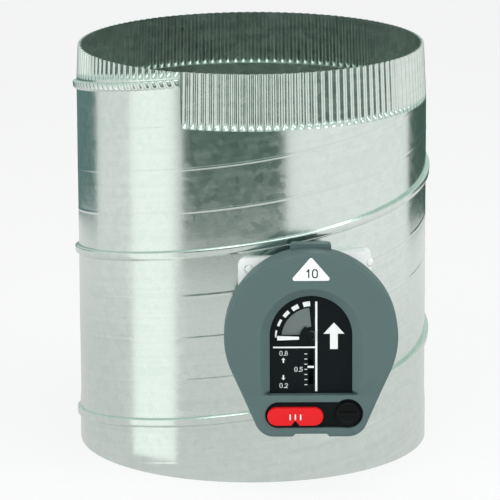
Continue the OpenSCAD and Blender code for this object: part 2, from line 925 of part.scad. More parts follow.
// White triangular label
label_half = 12.9;
label_base = 41.4;
label_apex = 57.8;
label_corner = 1.5;
module label_outline(grow = 0) {
    r = label_corner;
    corners = [[-label_half + r, label_base + r], [label_half - r, label_base + r], [0, label_apex - r]];
    slope = corners[2] - corners[1];
    out = [slope[1], -slope[0]] / norm(slope) * (r + grow);
    left_out = [-out[0], out[1]];
    down = [0, -r - grow];
    for (c = corners)
        translate(c)
            circle(r = r + grow);
    polygon([
        corners[0] + down, corners[1] + down, corners[1] + out, corners[2] + out,
        corners[2] + left_out, corners[0] + left_out,
    ]);
}

module size_label() {
    color("white")
    on_face(front_d - label_t)
        linear_extrude(height = label_t)
            label_outline();
}

// Nylon bush at the front, which passes the duct wall, the saddle and the floor of the tray
module front_bearing() {
    reach = floor_d - bush_start;
    color("ivory")
    on_face(bush_start)
        difference() {
            union() {
                cylinder(r = bush_r, h = reach + bush_flange_t);
                translate([0, 0, reach])
                    cylinder(r = bush_flange_r, h = bush_flange_t);
            }
            translate([0, 0, -over])
                cylinder(r = axle_r + run, h = reach + bush_flange_t + 2 * over);
        }
}

// Rear pad, bush, washer and ring: distances from the duct axis towards the back
pad_w = 40;
pad_drop = 9;
pad_rise = 14;
pad_t = 1.5;
pad_face_d = duct_r + pad_t;
pad_screw_x = 14;
pad_screw_y = 8.5;
pad_screw_seat = 2.5;
pad_screw_tip = 2;
ring_t = 1.2;
washer_t = 1;
rear_face_d = pad_face_d + bush_flange_t;
axle_rear = rear_face_d + washer_t + 2 * ring_t + 3 * gap;

// Distance of the duct wall from the plane through its axis, at one of the two pad screws
function pad_wall(s) = sqrt(duct_r * duct_r - pow(axle_offset + s * pad_screw_x - screw_head_r, 2));
function pad_inner(s) = sqrt(bore_r * bore_r - pow(axle_offset + s * pad_screw_x, 2));

// Moves children behind the duct: z points away from the duct axis, towards the back
module on_back(depth = 0) {
    translate([axle_offset, depth, axle_height])
        rotate([-90, 0, 0])
            children();
}

// Clearance cut along the stretch of the lock seam that passes behind the rear pad
module seam_channel() {
    a = acos(axle_offset / duct_r) + 360;
    lean = atan(seam_pitch / (2 * PI * duct_r));
    reach = duct_r + seam_rise + gap;
    on_wall(a, seam_z(a))
        rotate([lean, 0, 0])
            translate([0, -pad_w, -seam_width / 2 - gap])
                cube([reach, 2 * pad_w, seam_width + 2 * gap]);
}

// Moulded pad behind the duct that gives the rear bush a square seat
module rear_pad() {
    color("whitesmoke")
    difference() {
        on_back(0)
            linear_extrude(height = pad_face_d)
                rounded_rect(-pad_w / 2, -pad_rise, pad_w, pad_rise + pad_drop, shell);
        translate([0, 0, -over])
            cylinder(r = duct_r + saddle_gap, h = sleeve_length + 2 * over);
        on_back(0)
            cylinder(r = bush_r + snug, h = pad_face_d + over);
        for (s = [-1, 1])
            on_back(0)
                translate([s * pad_screw_x, -pad_screw_y, 0]) {
                    cylinder(d = screw_d + 2 * snug, h = pad_face_d);
                    translate([0, 0, pad_wall(s) + pad_screw_seat])
                        cylinder(r = screw_head_r + snug, h = pad_face_d);
                }
        seam_channel();
    }
}

module rear_pad_screws() {
    color("silver")
    for (s = [-1, 1])
        on_back(0)
            translate([s * pad_screw_x, -pad_screw_y, 0])
                screw(pad_wall(s) + pad_screw_seat, pad_inner(s) - pad_screw_tip);
}

module rear_bearing() {
    color("ivory")
    on_back(0)
        difference() {
            union() {
                translate([0, 0, bush_start])
                    cylinder(r = bush_r, h = rear_face_d - bush_start);
                translate([0, 0, pad_face_d])
                    cylinder(r = bush_flange_r, h = bush_flange_t);
            }
            cylinder(r = axle_r + run, h = rear_face_d + over);
        }
}

// Small angle under the blade that stops it when it closes
stop_angle = 130;
stop_w = 20;
stop_h = 16;
stop_reach = 14;
stop_t = 1.2;
stop_rivet_drop = 9;
stop_rivet_spread = 3;
stop_top = axle_height - face_z - gap;
module closed_stop() {
    outer = bore_r - saddle_gap;
    color("silver")
    difference() {
        intersection() {
            difference() {
                translate([0, 0, stop_top - stop_h])
                    cylinder(r = outer, h = stop_h);
                translate([0, 0, stop_top - stop_h - over])
                    cylinder(r = outer - stop_t, h = stop_h - stop_t + over);
                translate([0, 0, stop_top - stop_h - over])
                    cylinder(r = outer - stop_reach, h = stop_h + 2 * over);
            }
            on_wall(stop_angle, 0)
                translate([0, -stop_w / 2, 0])
                    cube([duct_bore, stop_w, sleeve_length]);
        }
        stop_rivet_places()
            rivet_hole();
    }
}

module stop_rivet_places() {
    for (s = [-1, 1])
        on_wall(stop_angle + s * stop_rivet_spread, stop_top - stop_rivet_drop)
            children();
}

module stop_rivets() {
    grip_in = bore_r - saddle_gap - stop_t;
    color("lightgray")
    stop_rivet_places()
        rotate([0, 90, 0]) {
            translate([0, 0, grip_in - rivet_head_t])
                cylinder(r = rivet_head_r - 2 * snug, h = rivet_head_t - snug);
            translate([0, 0, grip_in - rivet_head_t])
                cylinder(d = rivet_d, h = duct_r - grip_in + 2 * rivet_head_t);
            translate([0, 0, duct_r + snug])
                cylinder(r = rivet_head_r - 2 * snug, h = rivet_head_t);
        }
}

// Round steel axle, turned down at the front for the indicator and grooved at the back for its ring
axle_step_d = panel_back_d - 2 * gap;
axle_tip_d = panel_d + gap + arm_t;
ring_groove_depth = 0.9;
ring_groove_r = axle_r - ring_groove_depth;
module axle() {
    ring_at = rear_face_d + washer_t + 2 * gap;
    color("lightgray")
    difference() {
        union() {
            on_face(-axle_rear)
                cylinder(r = axle_r, h = axle_rear + axle_step_d);
            on_face(axle_step_d - over)
                cylinder(d = spigot_d, h = axle_tip_d - axle_step_d + over);
        }
        on_face(-ring_at - ring_t)
            difference() {
                cylinder(r = axle_r + over, h = ring_t);
                translate([0, 0, -over])
                    cylinder(r = ring_groove_r, h = ring_t + 2 * over);
            }
        axle_bolt_places()
            translate([0, 0, -axle_r - over])
                cylinder(d = axle_bolt_d + 2 * snug, h = 2 * (axle_r + over));
    }
}

// Outline of the blade for an edge radius, relieved so that it clears the duct while it turns
function blade_half(x, r) =
    let (swept = axle_offset - (axle_offset - x) * relief_share)
    sqrt(max(0, r * r - max(x * x, swept * swept)));
module blade_outline(r) {
    half_steps = 180 / outline_step;
    upper = [for (i = [0 : half_steps]) let (x = r * cos(i * outline_step)) [x, blade_half(x, r)]];
    lower = [for (i = [1 : half_steps - 1]) let (x = -r * cos(i * outline_step)) [x, -blade_half(x, r)]];
    polygon(concat(upper, lower));
}

// One blade plate with the half channel for the axle; side is 1 above the gasket and -1 below it
channel_r = axle_r + snug + plate_t;
module blade_plate(side) {
    plate_low = axle_height + (side > 0 ? plate_z : -face_z);
    channel_low = axle_height + (side > 0 ? plate_z : -plate_z - channel_r);
    difference() {
        union() {
            translate([0, 0, plate_low])
                linear_extrude(height = plate_t)
                    blade_outline(plate_r);
            intersection() {
                on_face(-channel_half)
                    cylinder(r = channel_r, h = 2 * channel_half);
                translate([0, -duct_bore / 2, channel_low])
                    cube([duct_bore / 2, duct_bore, channel_r]);
            }
        }
        blade_cuts();
    }
}

// Holes for axle, rivets and bolts, and the room that the ends of the two bushes need
module blade_cuts() {
    on_face(-duct_r)
        cylinder(r = axle_r + snug, h = 2 * duct_r);
    on_face(bush_start - gap)
        cylinder(r = bush_r + gap, h = duct_r);
    on_back(bush_start - gap)
        cylinder(r = bush_r + gap, h = duct_r);
    blade_rivet_places()
        translate([0, 0, -face_z - over])
            cylinder(d = blade_rivet_d + 2 * snug, h = 2 * (face_z + over));
    axle_bolt_places()
        translate([0, 0, -channel_r - over])
            cylinder(d = axle_bolt_d + 2 * snug, h = 2 * (channel_r + over));
}

module blade_upper_plate() {
    color("silver")
        blade_plate(1);
}

module blade_lower_plate() {
    color("silver")
        blade_plate(-1);
}

module blade_gasket() {
    color("#303336")
    difference() {
        translate([0, 0, axle_height - plate_z])
            linear_extrude(height = gasket_t)
                blade_outline(edge_r);
        blade_cuts();
    }
}

// Places of the blade rivets: two rows beside the axle, and a ring near the far edge
rivet_row = 14;
rivet_row_shares = [-0.8, -0.27, 0.27, 0.8];
rivet_ring_inset = 10;
rivet_ring_angles = [140, 160, 180, 200, 220];
module blade_rivet_places() {
    for (s = [-1, 1])
        for (y = rivet_row_shares)
            translate([axle_offset + s * rivet_row, y * channel_half, axle_height])
                children();
    for (a = rivet_ring_angles)
        rotate([0, 0, a])
            translate([plate_r - rivet_ring_inset, 0, axle_height])
                children();
}

module blade_rivets() {
    color("lightgray")
    blade_rivet_places() {
        translate([0, 0, -face_z - rivet_head_t])
            cylinder(d = blade_rivet_d, h = 2 * (face_z + rivet_head_t));
        for (z = [-face_z - rivet_head_t, face_z])
            translate([0, 0, z])
                cylinder(r = rivet_head_r, h = rivet_head_t);
    }
}

// Two bolts through plates and axle
axle_bolt_share = 0.55;
bolt_head_r = 3.5;
bolt_head_t = 2.2;
bolt_seat = channel_r;
module axle_bolt_places() {
    for (s = [-1, 1])
        translate([axle_offset, s * axle_bolt_share * channel_half, axle_height])
            children();
}

module axle_bolts() {
    color("lightgray")
    axle_bolt_places() {
        translate([0, 0, -bolt_seat - bolt_head_t - gap])
            cylinder(d = axle_bolt_d, h = 2 * bolt_seat + bolt_head_t + gap);
        translate([0, 0, bolt_seat])
            cylinder(r = bolt_head_r, h = bolt_head_t, $fn = 6);
        translate([0, 0, -bolt_seat - bolt_head_t])
            cylinder(r = bolt_head_r, h = bolt_head_t, $fn = 6);
    }
}

module rear_washer() {
    color("silver")
    on_back(rear_face_d + gap)
        difference() {
            cylinder(r = bush_flange_r - snug, h = washer_t);
            translate([0, 0, -over])
                cylinder(r = axle_r + snug, h = washer_t + 2 * over);
        }
}

// Snap ring in the axle's groove, open on one side
ring_wall = 2.2;
ring_mouth = 5;
module retaining_ring() {
    side = snug / 2;
    color("dimgray")
    on_back(rear_face_d + washer_t + 2 * gap + side)
        difference() {
            cylinder(r = ring_groove_r + ring_wall, h = ring_t - 2 * side);
            translate([0, 0, -over])
                cylinder(r = ring_groove_r + side, h = ring_t + 2 * over);
            translate([0, -ring_mouth / 2, -over])
                cube([2 * axle_d, ring_mouth, ring_t + 2 * over]);
        }
}

// Crank on the axle inside the housing, with the pin for the spring
module crank_arm() {
    color("dimgray")
    on_face(crank_d)
        difference() {
            union() {
                cylinder(r = crank_hub_r, h = crank_hub_t);
                linear_extrude(height = crank_arm_t)
                    pill(-crank_r - crank_arm_w / 2, crank_arm_w / 2, crank_arm_w);
                translate([-crank_r, 0, 0])
                    cylinder(r = hook_pin_r, h = hook_pin_top_d - crank_d);
            }
            translate([0, 0, -over])
                cylinder(r = axle_r + saddle_gap, h = crank_hub_t + 2 * over);
            crank_screw_axis()
                cylinder(d = setscrew_d + 2 * snug, h = 2 * crank_hub_r);
        }
}

// Axis of the set screw, from the middle of the hub towards +X
module crank_screw_axis() {
    translate([0, 0, (crank_hub_t + crank_arm_t) / 2])
        rotate([0, 90, 0])
            children();
}

module crank_setscrew() {
    color("silver")
    on_face(crank_d)
        crank_screw_axis()
            translate([0, 0, axle_r + snug])
                cylinder(d = setscrew_d, h = crank_hub_r - axle_r - 2 * snug);
}

// Black hub with the arm that carries the white indicator
module indicator_arm() {
    color("#15191b")
    on_face(panel_d + print_t + snug)
        difference() {
            union() {
                cylinder(r = hub_r, h = arm_t);
                linear_extrude(height = arm_t)
                    polygon([
                        [0, -arm_w / 2], [0, arm_w / 2],
                        [-pointer_r, needle_tip_w * arm_root_share],
                        [-pointer_r, -needle_tip_w * arm_root_share],
                    ]);
            }
            translate([0, 0, -over])
                cylinder(d = spigot_d + 2 * saddle_gap, h = arm_t + 2 * over);
        }
}

module indicator_pointer() {
    color("white")
    on_face(panel_d + print_t + snug + arm_t)
        linear_extrude(height = needle_t)
            polygon([
                [-hub_r - needle_gap, -needle_root_w / 2], [-hub_r - needle_gap, needle_root_w / 2],
                [-pointer_r, needle_tip_w / 2], [-pointer_r, -needle_tip_w / 2],
            ]);
}

// Knob with its shaft and a grip bar across its face
knob_cap_t = 3.4;
grip_w = 3;
grip_rise = 0.9;
module adjusting_knob() {
    seat = slot_d + gap;
    tail = back_d + shell / 2 + gap;
    color("#1b1e20")
    on_face(0)
        translate(knob_at) {
            translate([0, 0, seat])
                difference() {
                    cylinder(r = knob_r, h = knob_cap_t);
                    translate([0, 0, knob_cap_t - grip_rise])
                        difference() {
                            cylinder(r = knob_r * knob_dish_share, h = knob_cap_t);
                            translate([-knob_r, -grip_w / 2, -over])
                                cube([2 * knob_r, grip_w, knob_cap_t + over]);
                        }
                }
            translate([0, 0, tail])
                cylinder(r = knob_shaft_r, h = seat - tail + over);
        }
}
knob_dish_share = 0.8;

// Pinion pressed on the knob shaft, with a tooth gap towards the idler
press = 0.02;
module knob_pinion() {
    color("ivory")
    on_face(gear_d)
        translate(knob_at)
            rotate(90 - 180 / knob_teeth)
                difference() {
                    linear_extrude(height = pinion_t)
                        gear_outline(knob_teeth);
                    translate([0, 0, -over])
                        cylinder(r = knob_shaft_r + press, h = pinion_t + 2 * over);
                }
}

// Notched wheel on the knob shaft that the lock tooth enters
module detent_wheel() {
    color("ivory")
    on_face(wheel_d)
        translate(knob_at)
            difference() {
                cylinder(r = wheel_r, h = wheel_t);
                translate([0, 0, -over])
                    cylinder(r = knob_shaft_r + press, h = wheel_t + 2 * over);
                for (i = [0 : wheel_notches - 1])
                    rotate(180 + 360 * i / wheel_notches)
                        translate([wheel_r - wheel_notch_depth, -wheel_notch_w / 2, -over])
                            cube([wheel_r, wheel_notch_w, wheel_t + 2 * over]);
            }
}

// Idler between pinion and rack, with a tooth towards the pinion
module idler_gear() {
    color("ivory")
    on_face(gear_d)
        translate(idler_at)
            rotate(-90)
                difference() {
                    linear_extrude(height = layer_top_d - gear_d)
                        gear_outline(idler_teeth);
                    translate([0, 0, -over])
                        cylinder(r = idler_pin_r + run, h = layer_top_d - gear_d + 2 * over);
                }
}

// Push-on clip that keeps the idler on its pin
module gear_clip() {
    color("dimgray")
    on_face(layer_top_d + gap)
        translate(idler_at)
            difference() {
                cylinder(r = idler_pin_r + clip_wall, h = clip_t);
                translate([0, 0, -over])
                    cylinder(r = idler_pin_r + press, h = clip_t + 2 * over);
            }
}

// Rack with its guide slot, the bar to the spring and the neck of the pressure pointer
module rack_carriage() {
    teeth_half = floor((rack_travel + tooth_pitch) / tooth_pitch);
    left = rack_x - rack_w / 2;
    neck_bottom = -bar_drop;
    color("ivory")
    on_face(rack_d) {
        difference() {
            linear_extrude(height = rack_t) {
                translate([left, idler_at[1] - rack_half])
                    square([rack_w, 2 * rack_half]);
                for (k = [-teeth_half : teeth_half])
                    translate([rack_line_x, idler_at[1] + (rack_phase + k) * tooth_pitch])
                        tooth(-dedendum, addendum, -2 * dedendum);
                translate([-crank_r - bar_h / 2, -bar_drop])
                    square([left + crank_r + bar_h, bar_h]);
                translate([mark_x - bar_h / 2, neck_bottom])
                    square([bar_h, scale_y + neck_w / 2 - neck_bottom]);
            }
            translate([0, 0, -over])
                linear_extrude(height = rack_t + 2 * over)
                    translate([rack_x, idler_at[1]])
                        rotate(90)
                            pill(-guide_slot_half, guide_slot_half, 2 * (guide_r + gap));
        }
        translate([mark_x - neck_w / 2, scale_y - neck_w / 2, 0])
            cube([neck_w, neck_w, panel_d + print_t + snug - rack_d]);
        translate([-crank_r, hook_y, 0])
            cylinder(r = hook_pin_r, h = hook_pin_top_d - rack_d);
    }
}

module pressure_pointer() {
    color("white")
    on_face(panel_d + print_t + snug)
        translate([mark_x - mark_w / 2, scale_y - mark_h / 2, 0])
            cube([mark_w, mark_h, mark_t]);
}

// Pressure spring between the crank pin and the bar of the rack: one wound wire with straight ends
spring_sides = 6;
spring_ring_count = 8;
spring_ramp = 0.75;
spring_span = -hook_y - 2 * (hook_pin_r + spring_wire / 2 + snug);
spring_lead = 3;
spring_low = hook_y + hook_pin_r + spring_wire / 2 + snug;
spring_pitch = (spring_span - 2 * spring_lead) / spring_turns;
spring_steps = spring_turns * spring_ring_count;
function spring_radius(turn) =
    spring_r * min(1, max(0, turn / spring_ramp), max(0, (spring_turns - turn) / spring_ramp));
function spring_point(i) =
    let (turn = spring_turns * i / spring_steps, r = spring_radius(turn), a = 360 * turn)
    [r * cos(a), spring_low + spring_lead + spring_pitch * turn, r * sin(a)];
spring_path = concat(
    [[0, spring_low, 0]],
    [for (i = [0 : spring_steps]) spring_point(i)],
    [[0, spring_low + spring_span, 0]]
);
function unit(v) = v / norm(v);
function ring_at(path, i, r, sides) =
    let (
        last = len(path) - 1,
        t = unit(path[min(i + 1, last)] - path[max(i - 1, 0)]),
        a = 360 * spring_turns * (i - 1) / spring_steps,
        out = [cos(a), 0, sin(a)],
        n = unit(out - (out * t) * t),
        b = cross(t, n)
    )
    [for (k = [0 : sides - 1]) path[i] + r * (cos(360 * k / sides) * n + sin(360 * k / sides) * b)];
spring_self_gap = min([
    for (i = [0 : spring_steps - spring_ring_count])
        norm(spring_point(i) - spring_point(i + spring_ring_count)) - spring_wire,
]);
module pressure_spring() {
    echo(spring_self_gap = spring_self_gap);
    points = [
        for (i = [0 : len(spring_path) - 1]) each ring_at(spring_path, i, spring_wire / 2, spring_sides),
    ];
    color("silver")
    on_face(spring_d)
        translate([-crank_r, 0, 0])
            polyhedron(points, tube_faces(len(spring_path), spring_sides));
}

// Red slider that locks the knob: its stem passes the slot plate
module lock_slider() {
    stem_d = wheel_d + wheel_t;
    color("crimson")
    on_face(0)
        difference() {
            union() {
                translate([0, -knob_drop - (slot_h - pill_h) / 4, pill_d])
                    linear_extrude(height = pill_t)
                        pill(pill_right - pill_l, pill_right, pill_h);
                translate([stem_x - stem_w / 2, -knob_drop - stem_h / 2, stem_d])
                    cube([stem_w, stem_h, pill_d - stem_d + over]);
            }
            translate([stem_x, -knob_drop - (slot_h - pill_h) / 4 - pill_h / 2, pill_d - over])
                linear_extrude(height = pill_t + 2 * over)
                    polygon([
                        [-pill_notch_w / 2, -over], [-pill_notch_w / 2, 0], [0, pill_notch_h],
                        [pill_notch_w / 2, 0], [pill_notch_w / 2, -over],
                    ]);
        }
}

// Bar behind the slot plate whose tip enters the notched wheel
module lock_tooth() {
    shoulder = tooth_tip_x - 2 * wheel_notch_depth;
    color("#1b1e20")
    on_face(wheel_d)
        translate([0, -knob_drop, 0])
            linear_extrude(height = wheel_t)
                polygon([
                    [stem_x - stem_w / 2, -tooth_h / 2], [shoulder, -tooth_h / 2],
                    [tooth_tip_x - wheel_notch_depth, -tooth_tip_w / 2], [tooth_tip_x, -tooth_tip_w / 2],
                    [tooth_tip_x, tooth_tip_w / 2], [tooth_tip_x - wheel_notch_depth, tooth_tip_w / 2],
                    [shoulder, tooth_h / 2], [stem_x - stem_w / 2, tooth_h / 2],
                ]);
}

duct_sleeve();
crimped_end();
lock_seam();
saddle();
saddle_rivets();
housing_tray();
tray_screws();
housing_cover();
cover_screws();
dial_panel();
dial_marks();
slot_plate();
size_label();
front_bearing();
rear_pad();
rear_bearing();
rear_pad_screws();
closed_stop();
stop_rivets();
axle();
blade_upper_plate();
blade_lower_plate();
blade_gasket();
blade_rivets();
axle_bolts();
rear_washer();
retaining_ring();
crank_arm();
crank_setscrew();
indicator_arm();
indicator_pointer();
adjusting_knob();
knob_pinion();
detent_wheel();
idler_gear();
gear_clip();
rack_carriage();
pressure_pointer();
pressure_spring();
lock_slider();
lock_tooth();
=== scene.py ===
"""Looks of a bypass damper for a round duct.

A spiral-seam sleeve of galvanised sheet with one crimped end carries a slate-grey control housing.
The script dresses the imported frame: it builds the visible pieces from mesh code, gives every other
node a procedural finish, and sets the studio, the light and the camera. Lengths in the size classes
are millimetres unless a name says otherwise; the scene itself is in metres.
"""

import json
import logging
import math
from collections.abc import Callable, Iterable, Sequence
from dataclasses import dataclass, field
from enum import Enum

import bmesh
import bpy
from mathutils import Matrix, Vector, geometry

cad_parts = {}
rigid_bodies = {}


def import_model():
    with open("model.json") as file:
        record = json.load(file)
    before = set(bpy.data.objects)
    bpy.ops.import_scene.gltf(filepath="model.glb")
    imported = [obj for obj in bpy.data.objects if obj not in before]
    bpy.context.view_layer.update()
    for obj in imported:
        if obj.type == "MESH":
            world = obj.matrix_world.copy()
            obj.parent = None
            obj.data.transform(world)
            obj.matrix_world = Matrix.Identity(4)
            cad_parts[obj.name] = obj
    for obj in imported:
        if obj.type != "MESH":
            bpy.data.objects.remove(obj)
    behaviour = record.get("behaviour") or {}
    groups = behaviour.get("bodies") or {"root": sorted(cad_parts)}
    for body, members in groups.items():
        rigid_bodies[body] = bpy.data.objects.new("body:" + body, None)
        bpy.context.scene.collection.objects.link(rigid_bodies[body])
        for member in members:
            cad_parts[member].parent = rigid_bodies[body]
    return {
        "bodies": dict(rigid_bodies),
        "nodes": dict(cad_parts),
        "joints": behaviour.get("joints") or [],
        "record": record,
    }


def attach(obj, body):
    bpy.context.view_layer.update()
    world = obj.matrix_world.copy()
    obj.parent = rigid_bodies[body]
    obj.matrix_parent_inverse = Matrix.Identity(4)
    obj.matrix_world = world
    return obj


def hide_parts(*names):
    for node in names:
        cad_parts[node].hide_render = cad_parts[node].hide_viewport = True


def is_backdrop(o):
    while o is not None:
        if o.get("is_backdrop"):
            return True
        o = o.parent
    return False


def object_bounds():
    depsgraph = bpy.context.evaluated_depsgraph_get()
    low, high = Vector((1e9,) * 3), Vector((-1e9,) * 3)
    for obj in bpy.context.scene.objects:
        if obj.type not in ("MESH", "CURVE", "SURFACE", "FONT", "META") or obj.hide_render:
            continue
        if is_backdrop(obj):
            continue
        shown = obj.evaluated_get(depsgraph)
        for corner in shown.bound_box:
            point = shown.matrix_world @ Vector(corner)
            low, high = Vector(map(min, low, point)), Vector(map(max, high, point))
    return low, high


LOG = logging.getLogger("bypass_damper")
# Metres in a millimetre
MM = 0.001
# Points nearer to each other than this become one point
SAME_POINT = 1e-6
# Points nearer to a cutting plane than this lie on it, in metres
ON_PLANE = 1e-7

Colour = tuple[float, float, float]
Point = tuple[float, float]
Placing = Callable[[float, float, float], Vector]


class Body(Enum):
    """Bodies of the frame that carry a piece of this script."""

    DUCT = "duct"
    BLADE = "blade"
    KNOB = "knob"
    LOCK = "lock"


class Slot(Enum):
    """Material slots of the record."""

    GALVANISED = "galvanised"
    BLADE_STEEL = "blade_steel"
    ZINC_STEEL = "zinc_steel"
    AXLE_STEEL = "axle_steel"
    SPRING_STEEL = "spring_steel"
    SLATE = "slate_plastic"
    BLACK_PANEL = "black_panel"
    BLACK = "black_plastic"
    RED = "red_plastic"
    WHITE = "white_plastic"
    WHITE_PRINT = "white_print"
    WHITE_LABEL = "white_label"
    NYLON = "nylon"
    RUBBER = "gasket_rubber"


class Wire:
    """An output socket that can stand in a Python expression.

    Each operator adds one Math node to the tree that owns the socket.
    """

    def __init__(self, graph: "Graph", socket: bpy.types.NodeSocket) -> None:
        """Wraps a socket.

        Args:
            graph: Tree that the socket belongs to.
            socket: Output socket to wrap.
        """
        self.graph = graph
        self.socket = socket

    def __add__(self, other: "Wire | float") -> "Wire":
        """Adds a value or a wire."""
        return self.graph.math("ADD", self, other)

    def __radd__(self, other: float) -> "Wire":
        """Adds the wire to a number."""
        return self.graph.math("ADD", other, self)

    def __sub__(self, other: "Wire | float") -> "Wire":
        """Takes a value or a wire away."""
        return self.graph.math("SUBTRACT", self, other)

    def __rsub__(self, other: float) -> "Wire":
        """Takes the wire away from a number."""
        return self.graph.math("SUBTRACT", other, self)

    def __mul__(self, other: "Wire | float") -> "Wire":
        """Multiplies by a value or a wire."""
        return self.graph.math("MULTIPLY", self, other)

    def __rmul__(self, other: float) -> "Wire":
        """Multiplies a number by the wire."""
        return self.graph.math("MULTIPLY", other, self)

    def step(self, low: float, high: float) -> "Wire":
        """Soft step of the value.

        Args:
            low: Value at which the step starts.
            high: Value at which it is full.

        Returns:
            A value that rises smoothly from 0 to 1.
        """
        return self.graph.node(
            "ShaderNodeMapRange",
            {"interpolation_type": "SMOOTHSTEP"},
            {"Value": self, "From Min": low, "From Max": high},
        )


Value = Wire | float | Sequence[float]


class Graph:
    """Node tree of a material or a world, cleared and ready for new nodes."""

    def __init__(self, owner: bpy.types.Material | bpy.types.World) -> None:
        """Clears the tree of a material or world.

        Args:
            owner: Material or world whose nodes are used.
        """
        owner.use_nodes = True
        self.tree = owner.node_tree
        self.tree.nodes.clear()

    def node(
        self,
        kind: str,
        settings: dict[str, object] | None = None,
        inputs: dict[str | int, Value] | None = None,
        output: str | int = 0,
    ) -> Wire:
        """Adds a node, with its settings first and its sockets after them.

        Args:
            kind: Type name of the node.
            settings: Attributes of the node.
            inputs: Value or wire of each input, by name or index.
            output: Name or index of the output that is returned.

        Returns:
            The chosen output.
        """
        made = self.tree.nodes.new(kind)
        for name, value in (settings or {}).items():
            setattr(made, name, value)
        for name, value in (inputs or {}).items():
            if isinstance(value, Wire):
                self.tree.links.new(value.socket, made.inputs[name])
            else:
                made.inputs[name].default_value = value
        return Wire(self, made.outputs[output]) if made.outputs else Wire(self, made.inputs[0])

    def math(self, operation: str, first: Value, second: Value) -> Wire:
        """Adds a Math node.

        Args:
            operation: Name of the operation.
            first: First value.
            second: Second value.

        Returns:
            The result.
        """
        return self.node("ShaderNodeMath", {"operation": operation}, {0: first, 1: second})

    def mix(self, factor: Value, first: Value, second: Value) -> Wire:
        """Mixes two colours.

        Args:
            factor: Share of the second colour.
            first: First colour.
            second: Second colour.

        Returns:
            The mixed colour.
        """
        return self.node(
            "ShaderNodeMix",
            {"data_type": "RGBA", "clamp_factor": True},
            {0: factor, 6: self._opaque(first), 7: self._opaque(second)},
            2,
        )

    @staticmethod
    def _opaque(colour: Value) -> Value:
        """Adds the alpha that a colour socket needs.

        Args:
            colour: Wire or three numbers.

        Returns:
            The wire, or four numbers.
        """
        return colour if isinstance(colour, Wire) else (*colour, 1.0)

    def place(self) -> Wire:
        """Object coordinates, in metres."""
        return self.node("ShaderNodeTexCoord", output="Object")

    def stretched(self, place: Wire, scale: Sequence[float]) -> Wire:
        """Stretches coordinates.

        Args:
            place: Coordinates.
            scale: Factor along each axis.

        Returns:
            The new coordinates.
        """
        return self.node(
            "ShaderNodeVectorMath", {"operation": "MULTIPLY"}, {0: place, 1: tuple(scale)}
        )

    def noise(self, place: Wire, scale: float, detail: float = 2.0, rough: float = 0.5) -> Wire:
        """Noise texture.

        Args:
            place: Coordinates.
            scale: Cells per metre.
            detail: Number of octaves.
            rough: Weight of the fine octaves.

        Returns:
            The noise, between 0 and 1.
        """
        return self.node(
            "ShaderNodeTexNoise",
            {"noise_dimensions": "3D"},
            {"Vector": place, "Scale": scale, "Detail": detail, "Roughness": rough},
        )

    def cells(self, place: Wire, scale: float) -> Wire:
        """Voronoi cells.

        Args:
            place: Coordinates.
            scale: Cells per metre.

        Returns:
            The colour of each cell.
        """
        return self.node(
            "ShaderNodeTexVoronoi", {"feature": "F1"}, {"Vector": place, "Scale": scale}, "Color"
        )

    def bump(self, height: Wire, depth: float, strength: float) -> Wire:
        """Bumped normal.

        Args:
            height: Height, between 0 and 1.
            depth: Height of one unit, in metres.
            strength: Strength of the effect.

        Returns:
            The normal.
        """
        return self.node(
            "ShaderNodeBump", None, {"Height": height, "Distance": depth, "Strength": strength}
        )

    def principled(self, inputs: dict[str | int, Value]) -> Wire:
        """Adds the surface shader and the material output.

        Args:
            inputs: Value or wire of each shader input.

        Returns:
            The shader.
        """
        surface = self.node("ShaderNodeBsdfPrincipled", None, inputs)
        self.node("ShaderNodeOutputMaterial", None, {"Surface": surface})
        return surface


@dataclass(frozen=True)
class Finish:
    """Surface that a part is made of."""

    name: str

    def shade(self, graph: Graph) -> dict[str | int, Value]:
        """Builds the inputs of the surface shader.

        Args:
            graph: Tree that the nodes are added to.

        Returns:
            Value or wire of each shader input.
        """
        raise NotImplementedError

    def material(self) -> bpy.types.Material:
        """Builds the material.

        Returns:
            The material, ready for use.
        """
        made = bpy.data.materials.new(self.name)
        graph = Graph(made)
        graph.principled(self.shade(graph))
        return made


